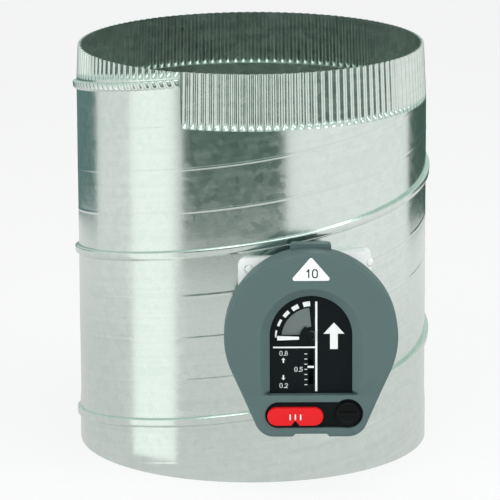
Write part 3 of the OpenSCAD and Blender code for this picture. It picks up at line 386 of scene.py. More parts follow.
@dataclass(frozen=True)
class SheetSteel(Finish):
    """Galvanised sheet with faint spangle, soft cloudiness and streaks along the strip.

    Attributes:
        tone_shares: Parts of cloud, flake, grain and streak in the tone.
        rough_shares: Parts of flake, cloud and streak in the roughness.
        relief_shares: Parts of grain and flake in the relief.
    """

    light: Colour = (0.82, 0.87, 0.84)
    dark: Colour = (0.70, 0.77, 0.73)
    roughness: float = 0.19
    spangle: float = 190.0
    cloud_scale: float = 24.0
    grain_scale: float = 900.0
    grain_depth: float = 0.00003
    streak_scale: float = 60.0
    strip: str = ""
    strip_stretch: tuple[float, float, float] = (4.0, 260.0, 0.0)
    tone_shares: tuple[float, float, float, float] = (0.2, 0.15, 0.35, 0.3)
    tone_range: Point = (0.25, 0.75)
    rough_shares: tuple[float, float, float] = (0.05, 0.06, 0.06)
    relief_shares: Point = (0.8, 0.2)
    relief: float = 0.6

    def _streaks(self, graph: Graph, place: Wire) -> Wire:
        """Streaks of the rolled sheet, along its strip where the mesh has one.

        Args:
            graph: Tree that the nodes are added to.
            place: Object coordinates.

        Returns:
            The streaks, between 0 and 1.
        """
        if not self.strip:
            return graph.noise(place, self.streak_scale)
        strip = graph.node("ShaderNodeUVMap", {"uv_map": self.strip})
        return graph.noise(graph.stretched(strip, self.strip_stretch), 1.0)

    def shade(self, graph: Graph) -> dict[str | int, Value]:
        """Builds the inputs of the surface shader.

        Args:
            graph: Tree that the nodes are added to.

        Returns:
            Value or wire of each shader input.
        """
        place = graph.place()
        cloud = graph.noise(place, self.cloud_scale, detail=3.0)
        grain = graph.noise(place, self.grain_scale, rough=0.6)
        cells = graph.cells(place, self.spangle)
        flake = graph.node("ShaderNodeSeparateColor", None, {"Color": cells}, "Red")
        streak = self._streaks(graph, place)
        parts = self.tone_shares
        tone = parts[0] * cloud + parts[1] * flake + parts[2] * grain + parts[3] * streak
        flaked, clouded, streaked = self.rough_shares
        spots = flaked * (flake - 0.5) + clouded * (cloud - 0.5)
        unevenness = spots + streaked * (streak - 0.5)
        height = self.relief_shares[0] * grain + self.relief_shares[1] * flake
        return {
            "Base Color": graph.mix(tone.step(*self.tone_range), self.dark, self.light),
            "Metallic": 1.0,
            "Roughness": self.roughness + unevenness,
            "Normal": graph.bump(height, self.grain_depth, self.relief),
        }


@dataclass(frozen=True)
class PlainSteel(Finish):
    """Plated or drawn steel of fixings, axle and spring."""

    colour: Colour = (0.70, 0.70, 0.68)
    roughness: float = 0.3
    wear_scale: float = 260.0
    drawn_scale: float = 2600.0
    drawn_stretch: tuple[float, float, float] = (1.0, 0.08, 1.0)
    drawn_depth: float = 0.000006
    dark_share: float = 0.8
    wear_range: Point = (0.3, 0.7)
    wear_roughness: float = 0.14
    relief: float = 0.5

    def shade(self, graph: Graph) -> dict[str | int, Value]:
        """Builds the inputs of the surface shader.

        Args:
            graph: Tree that the nodes are added to.

        Returns:
            Value or wire of each shader input.
        """
        place = graph.place()
        wear = graph.noise(place, self.wear_scale, detail=3.0)
        fine = graph.noise(graph.stretched(place, self.drawn_stretch), self.drawn_scale)
        darker = tuple(self.dark_share * part for part in self.colour)
        return {
            "Base Color": graph.mix(wear.step(*self.wear_range), darker, self.colour),
            "Metallic": 1.0,
            "Roughness": self.roughness + self.wear_roughness * (wear - 0.5),
            "Normal": graph.bump(fine, self.drawn_depth, self.relief),
        }


@dataclass(frozen=True)
class Plastic(Finish):
    """Moulded plastic with a fine eroded grain.

    Attributes:
        tone_shares: Parts of cloud and grain in the tone.
        rough_shares: Parts of cloud and grain in the roughness.
    """

    colour: Colour = (0.088, 0.138, 0.136)
    roughness: float = 0.48
    grain_depth: float = 0.00001
    shade_share: float = 0.06
    gloss: float = 0.3
    cloud_scale: float = 30.0
    grain_scale: float = 2400.0
    tone_shares: Point = (0.6, 0.4)
    rough_shares: Point = (0.1, 0.06)
    relief: float = 0.7

    def shade(self, graph: Graph) -> dict[str | int, Value]:
        """Builds the inputs of the surface shader.

        Args:
            graph: Tree that the nodes are added to.

        Returns:
            Value or wire of each shader input.
        """
        place = graph.place()
        cloud = graph.noise(place, self.cloud_scale, detail=3.0)
        grain = graph.noise(place, self.grain_scale, rough=0.7)
        low = tuple(part * (1.0 - self.shade_share) for part in self.colour)
        high = tuple(min(1.0, part * (1.0 + self.shade_share)) for part in self.colour)
        tone = self.tone_shares[0] * cloud + self.tone_shares[1] * grain
        clouded, grained = self.rough_shares
        return {
            "Base Color": graph.mix(tone, low, high),
            "Roughness": self.roughness + clouded * (cloud - 0.5) + grained * (grain - 0.5),
            "Specular IOR Level": self.gloss,
            "Normal": graph.bump(grain, self.grain_depth, self.relief),
        }


@dataclass(frozen=True)
class Print(Finish):
    """Flat ink or foil, slightly uneven."""

    colour: Colour = (0.86, 0.88, 0.87)
    roughness: float = 0.55
    patch_scale: float = 700.0
    thin_share: float = 0.94
    patch_roughness: float = 0.1

    def shade(self, graph: Graph) -> dict[str | int, Value]:
        """Builds the inputs of the surface shader.

        Args:
            graph: Tree that the nodes are added to.

        Returns:
            Value or wire of each shader input.
        """
        patch = graph.noise(graph.place(), self.patch_scale)
        low = tuple(self.thin_share * part for part in self.colour)
        return {
            "Base Color": graph.mix(patch, low, self.colour),
            "Roughness": self.roughness + self.patch_roughness * (patch - 0.5),
        }


@dataclass(frozen=True)
class Rubber(Finish):
    """Dull rubber sheet."""

    colour: Colour = (0.022, 0.023, 0.024)
    roughness: float = 0.72
    dust_scale: float = 90.0
    dust_share: float = 2.2
    pore_scale: float = 1500.0
    pore_depth: float = 0.00003
    dust_range: Point = (0.45, 0.8)
    dust_roughness: float = 0.15
    relief: float = 0.6

    def shade(self, graph: Graph) -> dict[str | int, Value]:
        """Builds the inputs of the surface shader.

        Args:
            graph: Tree that the nodes are added to.

        Returns:
            Value or wire of each shader input.
        """
        place = graph.place()
        dust = graph.noise(place, self.dust_scale, detail=4.0)
        pores = graph.noise(place, self.pore_scale)
        paler = tuple(self.dust_share * part for part in self.colour)
        return {
            "Base Color": graph.mix(dust.step(*self.dust_range), self.colour, paler),
            "Roughness": self.roughness + self.dust_roughness * (dust - 0.5),
            "Normal": graph.bump(pores, self.pore_depth, self.relief),
        }


FINISHES: dict[Slot, Finish] = {
    Slot.GALVANISED: SheetSteel("galvanised sheet"),
    Slot.BLADE_STEEL: SheetSteel("blade sheet", roughness=0.24),
    Slot.ZINC_STEEL: PlainSteel("zinc plated steel"),
    Slot.AXLE_STEEL: PlainSteel("drawn axle steel", (0.62, 0.63, 0.62), 0.26),
    Slot.SPRING_STEEL: PlainSteel("spring steel", (0.46, 0.46, 0.47), 0.34),
    Slot.SLATE: Plastic("slate plastic"),
    Slot.BLACK_PANEL: Plastic("black dial panel", (0.006, 0.009, 0.010), 0.5, 0.000004, gloss=0.08),
    Slot.BLACK: Plastic("black plastic", (0.005, 0.006, 0.006), 0.34, 0.000004, gloss=0.1),
    Slot.RED: Plastic("red plastic", (0.72, 0.012, 0.016), 0.4, 0.000005, gloss=0.2),
    Slot.WHITE: Plastic("white plastic", (0.93, 0.94, 0.93), 0.5, 0.000008, 0.02),
    Slot.WHITE_PRINT: Print("white print"),
    Slot.WHITE_LABEL: Print("white label", (0.9, 0.93, 0.92), 0.45),
    Slot.NYLON: Plastic("nylon", (0.62, 0.60, 0.53), 0.45, 0.000006),
    Slot.RUBBER: Rubber("gasket rubber"),
}
STRIP_STEEL = SheetSteel("galvanised strip", strip="strip")
FIELD_GREY = Print("grey print", (0.14, 0.17, 0.168), 0.6)


class Shape:
    """Mesh under construction, in metres and in the frame's axes."""

    def __init__(self) -> None:
        """Starts an empty mesh."""
        self.mesh = bmesh.new()

    def grid(
        self,
        columns: int,
        rows: int,
        point: Callable[[int, int], Vector],
        closed: bool = False,
        strip: Callable[[int, int], Point] | None = None,
    ) -> "Shape":
        """Adds a grid of faces.

        Args:
            columns: Number of columns of points.
            rows: Number of points in a column.
            point: Place of a point, by column and row.
            closed: Whether the last column joins the first.
            strip: Texture place of a point, by column and row.

        Returns:
            The shape itself.
        """
        points = [[self.mesh.verts.new(point(i, j)) for j in range(rows)] for i in range(columns)]
        layer = self.mesh.loops.layers.uv.new("strip") if strip else None
        for i in range(columns if closed else columns - 1):
            for j in range(rows - 1):
                near, far = points[i], points[(i + 1) % columns]
                face = self.mesh.faces.new((near[j], far[j], far[j + 1], near[j + 1]))
                if layer is not None:
                    corners = ((i, j), (i + 1, j), (i + 1, j + 1), (i, j + 1))
                    for loop, (u, v) in zip(face.loops, corners):
                        loop[layer].uv = strip(u, v)
        return self

    def loft(self, rings: Sequence[Sequence[Vector]]) -> "Shape":
        """Adds a closed body through rings of points.

        Args:
            rings: Places of the points of each ring, all with as many points.

        Returns:
            The shape itself.
        """
        rows = [[self.mesh.verts.new(place) for place in ring] for ring in rings]
        count = len(rows[0])
        for low, high in zip(rows, rows[1:]):
            for i in range(count):
                n = (i + 1) % count
                self.mesh.faces.new((low[i], low[n], high[n], high[i]))
        self.mesh.faces.new(rows[0][::-1])
        self.mesh.faces.new(rows[-1])
        return self

    def stack(self, rings: Sequence[tuple[Sequence[Point], float]], place: Placing) -> "Shape":
        """Adds a closed body over outlines that lie above each other.

        Args:
            rings: Outline and depth of each ring, all with as many points.
            place: Turns a point and its depth into a place in the frame.

        Returns:
            The shape itself.
        """
        return self.loft([[place(x, y, depth) for x, y in outline] for outline, depth in rings])

    def prism(self, outline: Sequence[Point], low: float, high: float, place: Placing) -> "Shape":
        """Adds a closed prism from one depth to another, over an outline in millimetres."""
        return self.stack([(outline, low), (outline, high)], place)

    def spun(self, profile: Sequence[Point], steps: int, place: Placing) -> "Shape":
        """Adds a turned body, closed on its axis at both ends of the profile.

        Args:
            profile: Radius and depth of each point, from one end to the other.
            steps: Number of steps round the axis.
            place: Turns a point and its depth into a place in the frame.

        Returns:
            The shape itself.
        """
        turns = [2 * math.pi * i / steps for i in range(steps)]
        rings = [([(r * math.cos(t), r * math.sin(t)) for t in turns], d) for r, d in profile]
        return self.stack(rings, place)

    def thicken(self, inward: Callable[[bmesh.types.BMVert], Vector]) -> "Shape":
        """Gives a sheet its thickness, with a rim along its open edges.

        Args:
            inward: Step from a point of the sheet to its other side.

        Returns:
            The shape itself.
        """
        self.mesh.normal_update()
        faces = list(self.mesh.faces)
        rim = [edge for edge in self.mesh.edges if len(edge.link_faces) == 1]
        steps = {vertex: inward(vertex) for vertex in self.mesh.verts}
        back = {vertex: self.mesh.verts.new(vertex.co + step) for vertex, step in steps.items()}
        for face in faces:
            made = self.mesh.faces.new([back[vertex] for vertex in reversed(face.verts)])
            for layer in self.mesh.loops.layers.uv.values():
                for old, new in zip(reversed(list(face.loops)), made.loops):
                    new[layer].uv = old[layer].uv
        for edge in rim:
            loop = edge.link_loops[0]
            first, last = loop.vert, loop.link_loop_next.vert
            self.mesh.faces.new((last, first, back[first], back[last]))
        return self

    def outward(self) -> "Shape":
        """Turns the faces outward."""
        bmesh.ops.recalc_face_normals(self.mesh, faces=self.mesh.faces)
        return self

    def tidy(self) -> "Shape":
        """Merges points that lie on each other and turns the faces outward."""
        bmesh.ops.remove_doubles(self.mesh, verts=self.mesh.verts, dist=SAME_POINT)
        return self.outward()

    def cut(self, height: float, keep_above: bool | None = None) -> "Shape":
        """Cuts the mesh at a height.

        Args:
            height: Height of the level plane, in metres.
            keep_above: Side that is kept; without it both stay.

        Returns:
            The shape itself.
        """
        bmesh.ops.bisect_plane(
            self.mesh,
            geom=[*self.mesh.verts, *self.mesh.edges, *self.mesh.faces],
            dist=ON_PLANE,
            plane_co=(0.0, 0.0, height),
            plane_no=(0.0, 0.0, 1.0),
            clear_inner=keep_above is True,
            clear_outer=keep_above is False,
        )
        return self

    def move(self, change: Callable[[Vector], Vector]) -> "Shape":
        """Moves every point.

        Args:
            change: New place of a point.

        Returns:
            The shape itself.
        """
        for vertex in self.mesh.verts:
            vertex.co = change(vertex.co)
        return self


def put_in_scene(name: str, shape: Shape, material: bpy.types.Material) -> bpy.types.Object:
    """Turns a shape into an object of the scene.

    Args:
        name: Name of the object and its mesh.
        shape: Mesh of the object, which is used up.
        material: Its material.

    Returns:
        The new object.
    """
    data = bpy.data.meshes.new(name)
    shape.mesh.to_mesh(data)
    shape.mesh.free()
    data.materials.append(material)
    made = bpy.data.objects.new(name, data)
    bpy.context.scene.collection.objects.link(made)
    return made


@dataclass
class Workshop:
    """Turns shapes into pieces of the object and keeps one material for each slot."""

    frame: dict[str, object]
    materials: dict[Slot, bpy.types.Material] = field(default_factory=dict)

    def __post_init__(self) -> None:
        """Builds the material of each slot."""
        for slot, finish in FINISHES.items():
            self.materials[slot] = finish.material()

    def publish(
        self,
        name: str,
        shape: Shape,
        slot: Slot,
        body: Body,
        replaces: Iterable[str] = (),
        crease: float = 30.0,
        material: bpy.types.Material | None = None,
    ) -> None:
        """Makes a piece from a shape.

        Args:
            name: Name of the piece.
            shape: Mesh of the piece, which is used up.
            slot: Material slot of the record.
            body: Body that the piece moves with.
            replaces: Nodes of the frame that the piece stands for.
            crease: Angle above which an edge stays sharp, in degrees.
            material: Material other than that of the slot.
        """
        shape.mesh.normal_update()
        limit = math.radians(crease)
        for edge in shape.mesh.edges:
            edge.smooth = len(edge.link_faces) != 2 or edge.calc_face_angle(0.0) < limit
        for face in shape.mesh.faces:
            face.smooth = True
        made = put_in_scene(name, shape, material or self.materials[slot])
        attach(made, body.value)
        names = tuple(replaces)
        if names:
            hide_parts(*names)
        LOG.info("piece %s: %d faces, rides on %s", name, len(made.data.polygons), body.value)

    def dress(self) -> None:
        """Gives each node of the frame the finish of its slot."""
        subparts = self.frame["record"]["subparts"]
        slots = {entry["node"]: Slot(entry["material_slot"]) for entry in subparts}
        for node, item in self.frame["nodes"].items():
            item.data.materials.clear()
            item.data.materials.append(self.materials[slots[node]])
        LOG.info("finishes set on %d nodes", len(slots))


def smooth(value: float) -> float:
    """Soft step from 0 to 1 over the range 0 to 1."""
    held = min(1.0, max(0.0, value))
    return held * held * (3.0 - 2.0 * held)


@dataclass(frozen=True)
class DuctSize:
    """Sizes of the duct sleeve, in millimetres and degrees."""

    bore: float = 254.0
    sheet: float = 0.7
    length: float = 295.7
    inlet_length: float = 28.0
    inlet_swell: float = 0.6
    inlet_cone: float = 7.0
    cone_edge: float = 0.5
    crimp_height: float = 255.7
    strip: float = 123.2
    seam_start: float = 18.8
    seam_zero: float = 180.0
    turn_first: int = -236
    turn_last: int = 873
    row_edge: float = 3.4
    first_rows: tuple[float, ...] = (10.0, 16.0, 22.0)
    rib_places: tuple[float, ...] = (30.8, 61.6, 92.4)
    rib_rows: tuple[float, ...] = (7.0, 14.0, 21.0)
    rib_width: float = 2.6
    rib_rise: float = 0.13
    rib_shoulder: float = 0.7
    rib_foot: float = 0.4
    waviness: float = 0.07
    waves: tuple[tuple[float, float, float], ...] = ((3.1, 17.0, 1.0), (7.3, -29.0, 0.6))

    @property
    def outer(self) -> float:
        """Outside radius of the plain tube."""
        return self.bore / 2 + self.sheet

    def seam_height(self, turn: float) -> float:
        """Height of the seam's middle line.

        Args:
            turn: Angle from +X, which grows without limit.

        Returns:
            The height above the inlet end.
        """
        return self.seam_start + (turn - self.seam_zero) * self.strip / 360.0

    def swell(self, height: float) -> float:
        """Extra radius of the expanded inlet.

        Args:
            height: Height above the inlet end.

        Returns:
            The extra radius.
        """
        over = (height - self.inlet_length) / self.inlet_cone
        return self.inlet_swell * (1.0 - min(1.0, max(0.0, over)))


@dataclass(frozen=True)
class CrimpSize:
    """Sizes of the crimped end, in millimetres."""

    count: int = 134
    columns: int = 10
    taper: float = 2.0
    swing: float = 0.95
    run: float = 4.2
    crest_flat: float = 0.25
    shortest: float = 1.0
    plain: float = 0.3
    plain_rows: tuple[float, float] = (0.5, 0.7)
    rows_below: int = 3
    texture_step: float = 0.003
    rows: tuple[float, ...] = (
        0.0, 0.012, 0.03, 0.05, 0.07, 0.09, 0.115, 0.15,
        0.2, 0.28, 0.38, 0.5, 0.62, 0.75, 0.88, 1.0,
    )


@dataclass(frozen=True)
class SeamSize:
    """Sizes of the lock seam, in millimetres and degrees."""

    first: float = 135.6
    last: float = 966.9
    half: float = 3.5
    margin: float = 0.8
    reach: float = 2.74
    profile: tuple[Point, ...] = (
        (-3.5, -0.05), (-3.2, 0.35), (-2.7, 1.2), (-2.2, 1.9), (-1.7, 2.3),
        (-1.1, 2.5), (0.2, 2.62), (1.6, 2.72), (2.5, 2.74), (2.75, 2.68),
        (3.0, 2.5), (3.2, 2.2), (3.3, 1.2), (3.4, -0.05),
    )
    pleat: float = 0.45
    pleat_slant: float = 0.5
    pleat_run: float = 6.0
    pleat_steps: int = 5


class DuctSleeve:
    """Spiral-seam sleeve with its crimped end and its folded seam."""

    def __init__(
        self,
        size: DuctSize = DuctSize(),
        crimps: CrimpSize = CrimpSize(),
        seam: SeamSize = SeamSize(),
    ) -> None:
        """Keeps the sizes.

        Args:
            size: Sizes of the sleeve.
            crimps: Sizes of the crimped end.
            seam: Sizes of the seam.
        """
        self.size = size
        self.crimps = crimps
        self.seam = seam

    def on_wall(self, radius: float, turn: float, height: float) -> Vector:
        """Place on a cylinder round the duct axis.

        Args:
            radius: Distance from the axis, in millimetres.
            turn: Angle from +X, in degrees.
            height: Height above the inlet end, in millimetres.

        Returns:
            The place, in metres.
        """
        a = math.radians(turn)
        return Vector((radius * math.cos(a), radius * math.sin(a), height)) * MM

    def build(self, shop: Workshop) -> None:
        """Builds and publishes the pieces of the duct.

        Args:
            shop: Workshop that publishes them.
        """
        steel = STRIP_STEEL.material()
        for name, shape, node in (
            ("spiral_sleeve", self._sleeve(), "duct_sleeve"),
            ("crimped_spigot", self._crimped(), "crimped_end"),
        ):
            shape.thicken(self._inward)
            made = (name, shape, Slot.GALVANISED, Body.DUCT, [node])
            shop.publish(*made, crease=40.0, material=steel)
        made = ("folded_seam", self._seam(), Slot.GALVANISED, Body.DUCT, ["lock_seam"])
        shop.publish(*made, crease=50.0)

    def _inward(self, vertex: bmesh.types.BMVert) -> Vector:
        """Step through the sheet towards the duct axis.

        Args:
            vertex: Point of the outer face.

        Returns:
            The step, in metres.
        """
        return Vector((vertex.co.x, vertex.co.y, 0.0)).normalized() * -self.size.sheet * MM

    def _rows(self) -> list[Point]:
        """Rows of points across the strip.

        Returns:
            Distance above the seam's middle and rise of each row.
        """
        size = self.size
        half, shoulder = size.rib_width / 2, size.rib_shoulder
        foot = half + size.rib_foot
        rib = (
            (-foot, 0.0), (-half, 0.0), (-half / 2, shoulder), (0.0, 1.0), (half / 2, shoulder),
            (half, 0.0), (foot, 0.0),
        )
        rows = [(above, 0.0) for above in (0.0, size.row_edge, *size.first_rows)]
        for place in size.rib_places:
            rows += [(place + side, share * size.rib_rise) for side, share in rib]
            rows += [(place + step, 0.0) for step in size.rib_rows]
        return [*rows, (size.strip - size.row_edge, 0.0), (size.strip, 0.0)]

    def _wave(self, turn: float, above: float) -> float:
        """Slight waviness of the thin sheet, nil along the seam.

        Args:
            turn: Angle from +X, which grows without limit.
            above: Distance above the seam's middle.

        Returns:
            Change of the radius, in millimetres.
        """
        edge = math.sin(math.pi * above / self.size.strip)
        a = math.radians(turn)
        mixed = sum(
            share * math.sin(rate * a + above / run) for rate, run, share in self.size.waves
        )
        return self.size.waviness * edge * mixed

    def _sleeve(self) -> Shape:
        """Builds the sleeve as one long strip wound in a spiral.

        Returns:
            The shape.
        """
        size = self.size
        rows = self._rows()

        def point(i: int, j: int) -> Vector:
            """Place of a point of the strip.

            Args:
                i: Its column, one for each degree.
                j: Its row across the strip.

            Returns:
                The place, in metres.
            """
            turn = size.turn_first + i
            above, rise = rows[j]
            radius = size.outer + rise + self._wave(turn, above)
            return self.on_wall(radius, turn, size.seam_height(turn) + above)

        def strip(i: int, j: int) -> Point:
            """Texture place of a point, along and across the strip."""
            return (math.radians(size.turn_first + i) * size.outer * MM, rows[j][0] * MM)

        shape = Shape().grid(size.turn_last - size.turn_first + 1, len(rows), point, strip=strip)
        shape.cut(0.0, keep_above=True).cut(size.crimp_height * MM, keep_above=False)
        for height in (-size.cone_edge, 0.0, size.inlet_cone, size.inlet_cone + size.cone_edge):
            shape.cut((size.inlet_length + height) * MM)
        return shape.move(self._swollen).tidy()

    def _swollen(self, place: Vector) -> Vector:
        """Widens the inlet end.

        Args:
            place: Place on the plain tube, in metres.

        Returns:
            The place on the widened tube.
        """
        radius = math.hypot(place.x, place.y)
        factor = 1.0 + self.size.swell(place.z / MM) * MM / radius
        return Vector((place.x * factor, place.y * factor, place.z))

    def _crimp_start(self, turn: float) -> float:
        """Height at which the crimps start, above the seam where it lies in their way.

        Args:
            turn: Angle from +X.

        Returns:
            The height above the inlet end.
        """
        size, seam = self.size, self.seam
        round_last = math.floor((seam.last - turn) / 360.0)
        top = size.seam_height(turn + 360.0 * round_last) + seam.half + seam.margin
        return max(size.crimp_height, min(size.length - self.crimps.shortest, top))

    def _crimp_point(self, turn: float, row: int) -> Vector:
        """Place of a point of the crimped end.

        Args:
            turn: Angle from +X, in degrees.
            row: Number of its row; the first ones lie below the crimps.

        Returns:
            The place, in metres.
        """
        size, crimps = self.size, self.crimps
        start = self._crimp_start(turn)
        if row < crimps.rows_below:
            room = start - size.crimp_height
            middle, upper = crimps.plain_rows
            plain = (0.0, middle * room, max(upper * room, room - crimps.plain))[row]
            return self.on_wall(size.outer, turn, size.crimp_height + plain)
        height = start + (size.length - start) * crimps.rows[row - crimps.rows_below]
        swing = crimps.swing * smooth((height - start) / crimps.run)
        phase = math.cos(math.radians(turn) * crimps.count)
        soft = phase * (1.0 + crimps.crest_flat - crimps.crest_flat * phase * phase)
        narrowed = crimps.taper * (height - start) / (size.length - size.crimp_height)
        return self.on_wall(size.outer - narrowed - swing * (1.0 - soft), turn, height)

    def _crimped(self) -> Shape:
        """Builds the crimped end.

        Returns:
            The shape.
        """
        crimps = self.crimps
        columns = crimps.count * crimps.columns
        around = 2 * math.pi * self.size.outer * MM

        def point(i: int, j: int) -> Vector:
            """Place of a point, by column and row."""
            return self._crimp_point(360.0 * i / columns, j)

        def strip(i: int, j: int) -> Point:
            """Texture place of a point, by column and row."""
            return (around * i / columns, j * crimps.texture_step)

        rows = crimps.rows_below + len(crimps.rows)
        return Shape().grid(columns, rows, point, closed=True, strip=strip).tidy()

    def _seam_ring(self, turn: float, pleated: float) -> list[Vector]:
        """Section of the seam.

        Args:
            turn: Angle from +X, which grows without limit.
            pleated: Angle at which the pleats start.

        Returns:
            The places of its points, in metres.
        """
        size, seam = self.size, self.seam
        press = min(1.0, max(0.0, (turn - pleated) / seam.pleat_run))
        made = []
        for above, rise in seam.profile:
            height = size.seam_height(turn) + above
            phase = math.radians(turn) * self.crimps.count + seam.pleat_slant * above
            drop = press * seam.pleat * (1.0 + math.cos(phase)) * min(1.0, max(0.0, rise))
            widest = size.outer + seam.reach
            radius = min(size.outer + size.swell(height) + rise, widest) - drop
            made.append(self.on_wall(radius, turn, height))
        return made

    def _seam(self) -> Shape:
        """Builds the folded seam, swept up the sleeve; its last part is pleated by the crimps.

        Returns:
            The shape.
        """
        size, seam = self.size, self.seam
        pleated = size.seam_zero + (size.crimp_height - size.seam_start) * 360.0 / size.strip
        steps = round(seam.last - seam.first)
        turns = [seam.first + i for i in range(steps) if seam.first + i < pleated]
        plain_last = turns[-1]
        rest = round((seam.last - plain_last) * seam.pleat_steps)
        turns += [plain_last + (seam.last - plain_last) * (i + 1) / rest for i in range(rest)]
        return Shape().loft([self._seam_ring(turn, pleated) for turn in turns]).outward()


# Axle of the blade: to the right of the duct's centre line, and above the inlet end
AXLE_X = 41.0
AXLE_Z = 114.5


def on_face(x: float, y: float, depth: float) -> Vector:
    """Place on the housing's face.

    Args:
        x: Distance to the right of the axle, in millimetres.
        y: Distance above the axle.
        depth: Distance in front of the duct axis.

    Returns:
        The place, in metres.
    """
    return Vector((AXLE_X + x, -depth, AXLE_Z + y)) * MM


def arc(centre: Point, radius: float, first: float, last: float, steps: int) -> list[Point]:
    """Points of an arc.

    Args:
        centre: Centre of the arc.
        radius: Its radius.
        first: First angle, in degrees.
        last: Last angle.
        steps: Number of steps.

    Returns:
        The points, both ends among them.
    """
    angles = [math.radians(first + (last - first) * i / steps) for i in range(steps + 1)]
    return [(centre[0] + radius * math.cos(a), centre[1] + radius * math.sin(a)) for a in angles]


def between(first: Point, last: Point, steps: int) -> list[Point]:
    """Points on a straight line, without its ends.

    Args:
        first: Start of the line.
        last: End of the line.
        steps: Number of steps.

    Returns:
        The points between the ends.
    """
    return [
        (first[0] + (last[0] - first[0]) * i / steps, first[1] + (last[1] - first[1]) * i / steps)
        for i in range(1, steps)
    ]


def inside(place: Point, loop: Sequence[Point]) -> bool:
    """Tells whether a point lies inside a closed outline.

    Args:
        place: Point to test.
        loop: Points of the outline.

    Returns:
        True if it lies inside.
    """
    x, y = place
    found = False
    for (ax, ay), (bx, by) in zip(loop, [*loop[1:], loop[0]]):
        if (ay > y) != (by > y) and x < ax + (bx - ax) * (y - ay) / (by - ay):
            found = not found
    return found


def rounding(radius: float, steps: int) -> list[Point]:
    """Steps of a rounded edge.

    Args:
        radius: Radius of the edge.
        steps: Number of steps over the quarter circle.

    Returns:
        Distance from the wall and drop below the face at each step, from the wall inward.
    """
    turns = [math.pi / 2 * i / steps for i in range(steps + 1)]
    return [(radius * (1.0 - math.cos(t)), radius * (1.0 - math.sin(t))) for t in turns]


@dataclass(frozen=True)
class HousingSize:
    """Sizes of the front cover, in millimetres from the axle and in front of the duct axis."""

    head_r: float = 61.0
    foot_r: float = 14.0
    foot_x: float = 26.0
    foot_drop: float = 58.7
    notch_half: float = 12.0
    notch_soft: float = 0.9
    notch_rise: float = 2.0
    split: float = 140.0
    face: float = 158.0
    block: float = 156.0
    edge_r: float = 2.3
    arch_r: float = 29.0
    arch_drop: float = 42.0
    roll: float = 6.5
    roll_foot: float = 151.5
    panel_hold: float = 149.4
    slot_left: float = 32.2
    slot_half: float = 9.3
    slot_y: float = -56.5
    knob_x: float = 25.9
    knob_y: float = -55.6
    recess_r: float = 10.5
    slot_edge_r: float = 0.7
    slot_hold: float = 153.3
    block_edge_r: float = 1.0
    wall: float = 1.6
    softness: float = 0.16
    sill_soft: float = 0.6
    block_fade: Point = (30.0, 3.0)
    label_r: float = 1.5
    label_low: float = 41.4
    label_high: float = 57.8
    label_half: float = 12.9
    label_gap: float = 0.1
    label_sink: float = 0.45
    crease: tuple[Point, ...] = (
        (31.0, -41.7), (32.0, -41.3), (33.3, -38.5), (35.5, -35.8), (38.7, -32.4), (43.1, -29.1),
        (48.5, -26.8), (53.4, -25.7), (62.0, -25.0),
    )

    def crease_height(self, side: float) -> float:
        """Height of the crease where the facet leaves the round face.

        Args:
            side: Distance from the middle line.

        Returns:
            The height above the axle.
        """
        for (ax, ay), (bx, by) in zip(self.crease, self.crease[1:]):
            if side <= bx:
                return ay + (by - ay) * max(0.0, side - ax) / (bx - ax)
        return self.crease[-1][1]


@dataclass(frozen=True)
class CoverSpacing:
    """Spacing and clearances of the points in the cover's mesh, in millimetres."""

    mesh: float = 1.7
    crease_step: float = 0.5
    crease_count: int = 46
    crease_sides: tuple[float, ...] = (-0.55, 0.0, 0.55)
    sill_step: float = 0.7
    sill_count: int = 45
    sill_downs: tuple[float, ...] = (0.12, 0.3, 0.6, 1.0)
    sill_ups: tuple[float, ...] = (0.15, 0.3, 0.45, 0.6)
    sill_band: float = 0.7
    jamb_start: float = 29.3
    jamb_step: float = 0.6
    jamb_count: int = 8
    slope_steps: int = 7
    arch_foot_steps: int = 60
    clear_rim: float = 0.35
    clear_arch: float = 0.25
    clear_slope: float = 0.4
    clear_slot: float = 0.3
    clear_label: float = 0.5
    nearest: float = 0.2
    edge_steps: int = 5
    slot_edge_steps: int = 3


@dataclass(frozen=True)
class OutlineSteps:
    """Numbers of pieces that the parts of the cover's outlines are divided into."""

    head: int = 100
    foot: int = 14
    base: int = 52
    flank: int = 14
    arch: int = 60
    arch_side: int = 16
    knob: int = 40
    slide: int = 24
    slot_side: int = 24
    label: int = 8


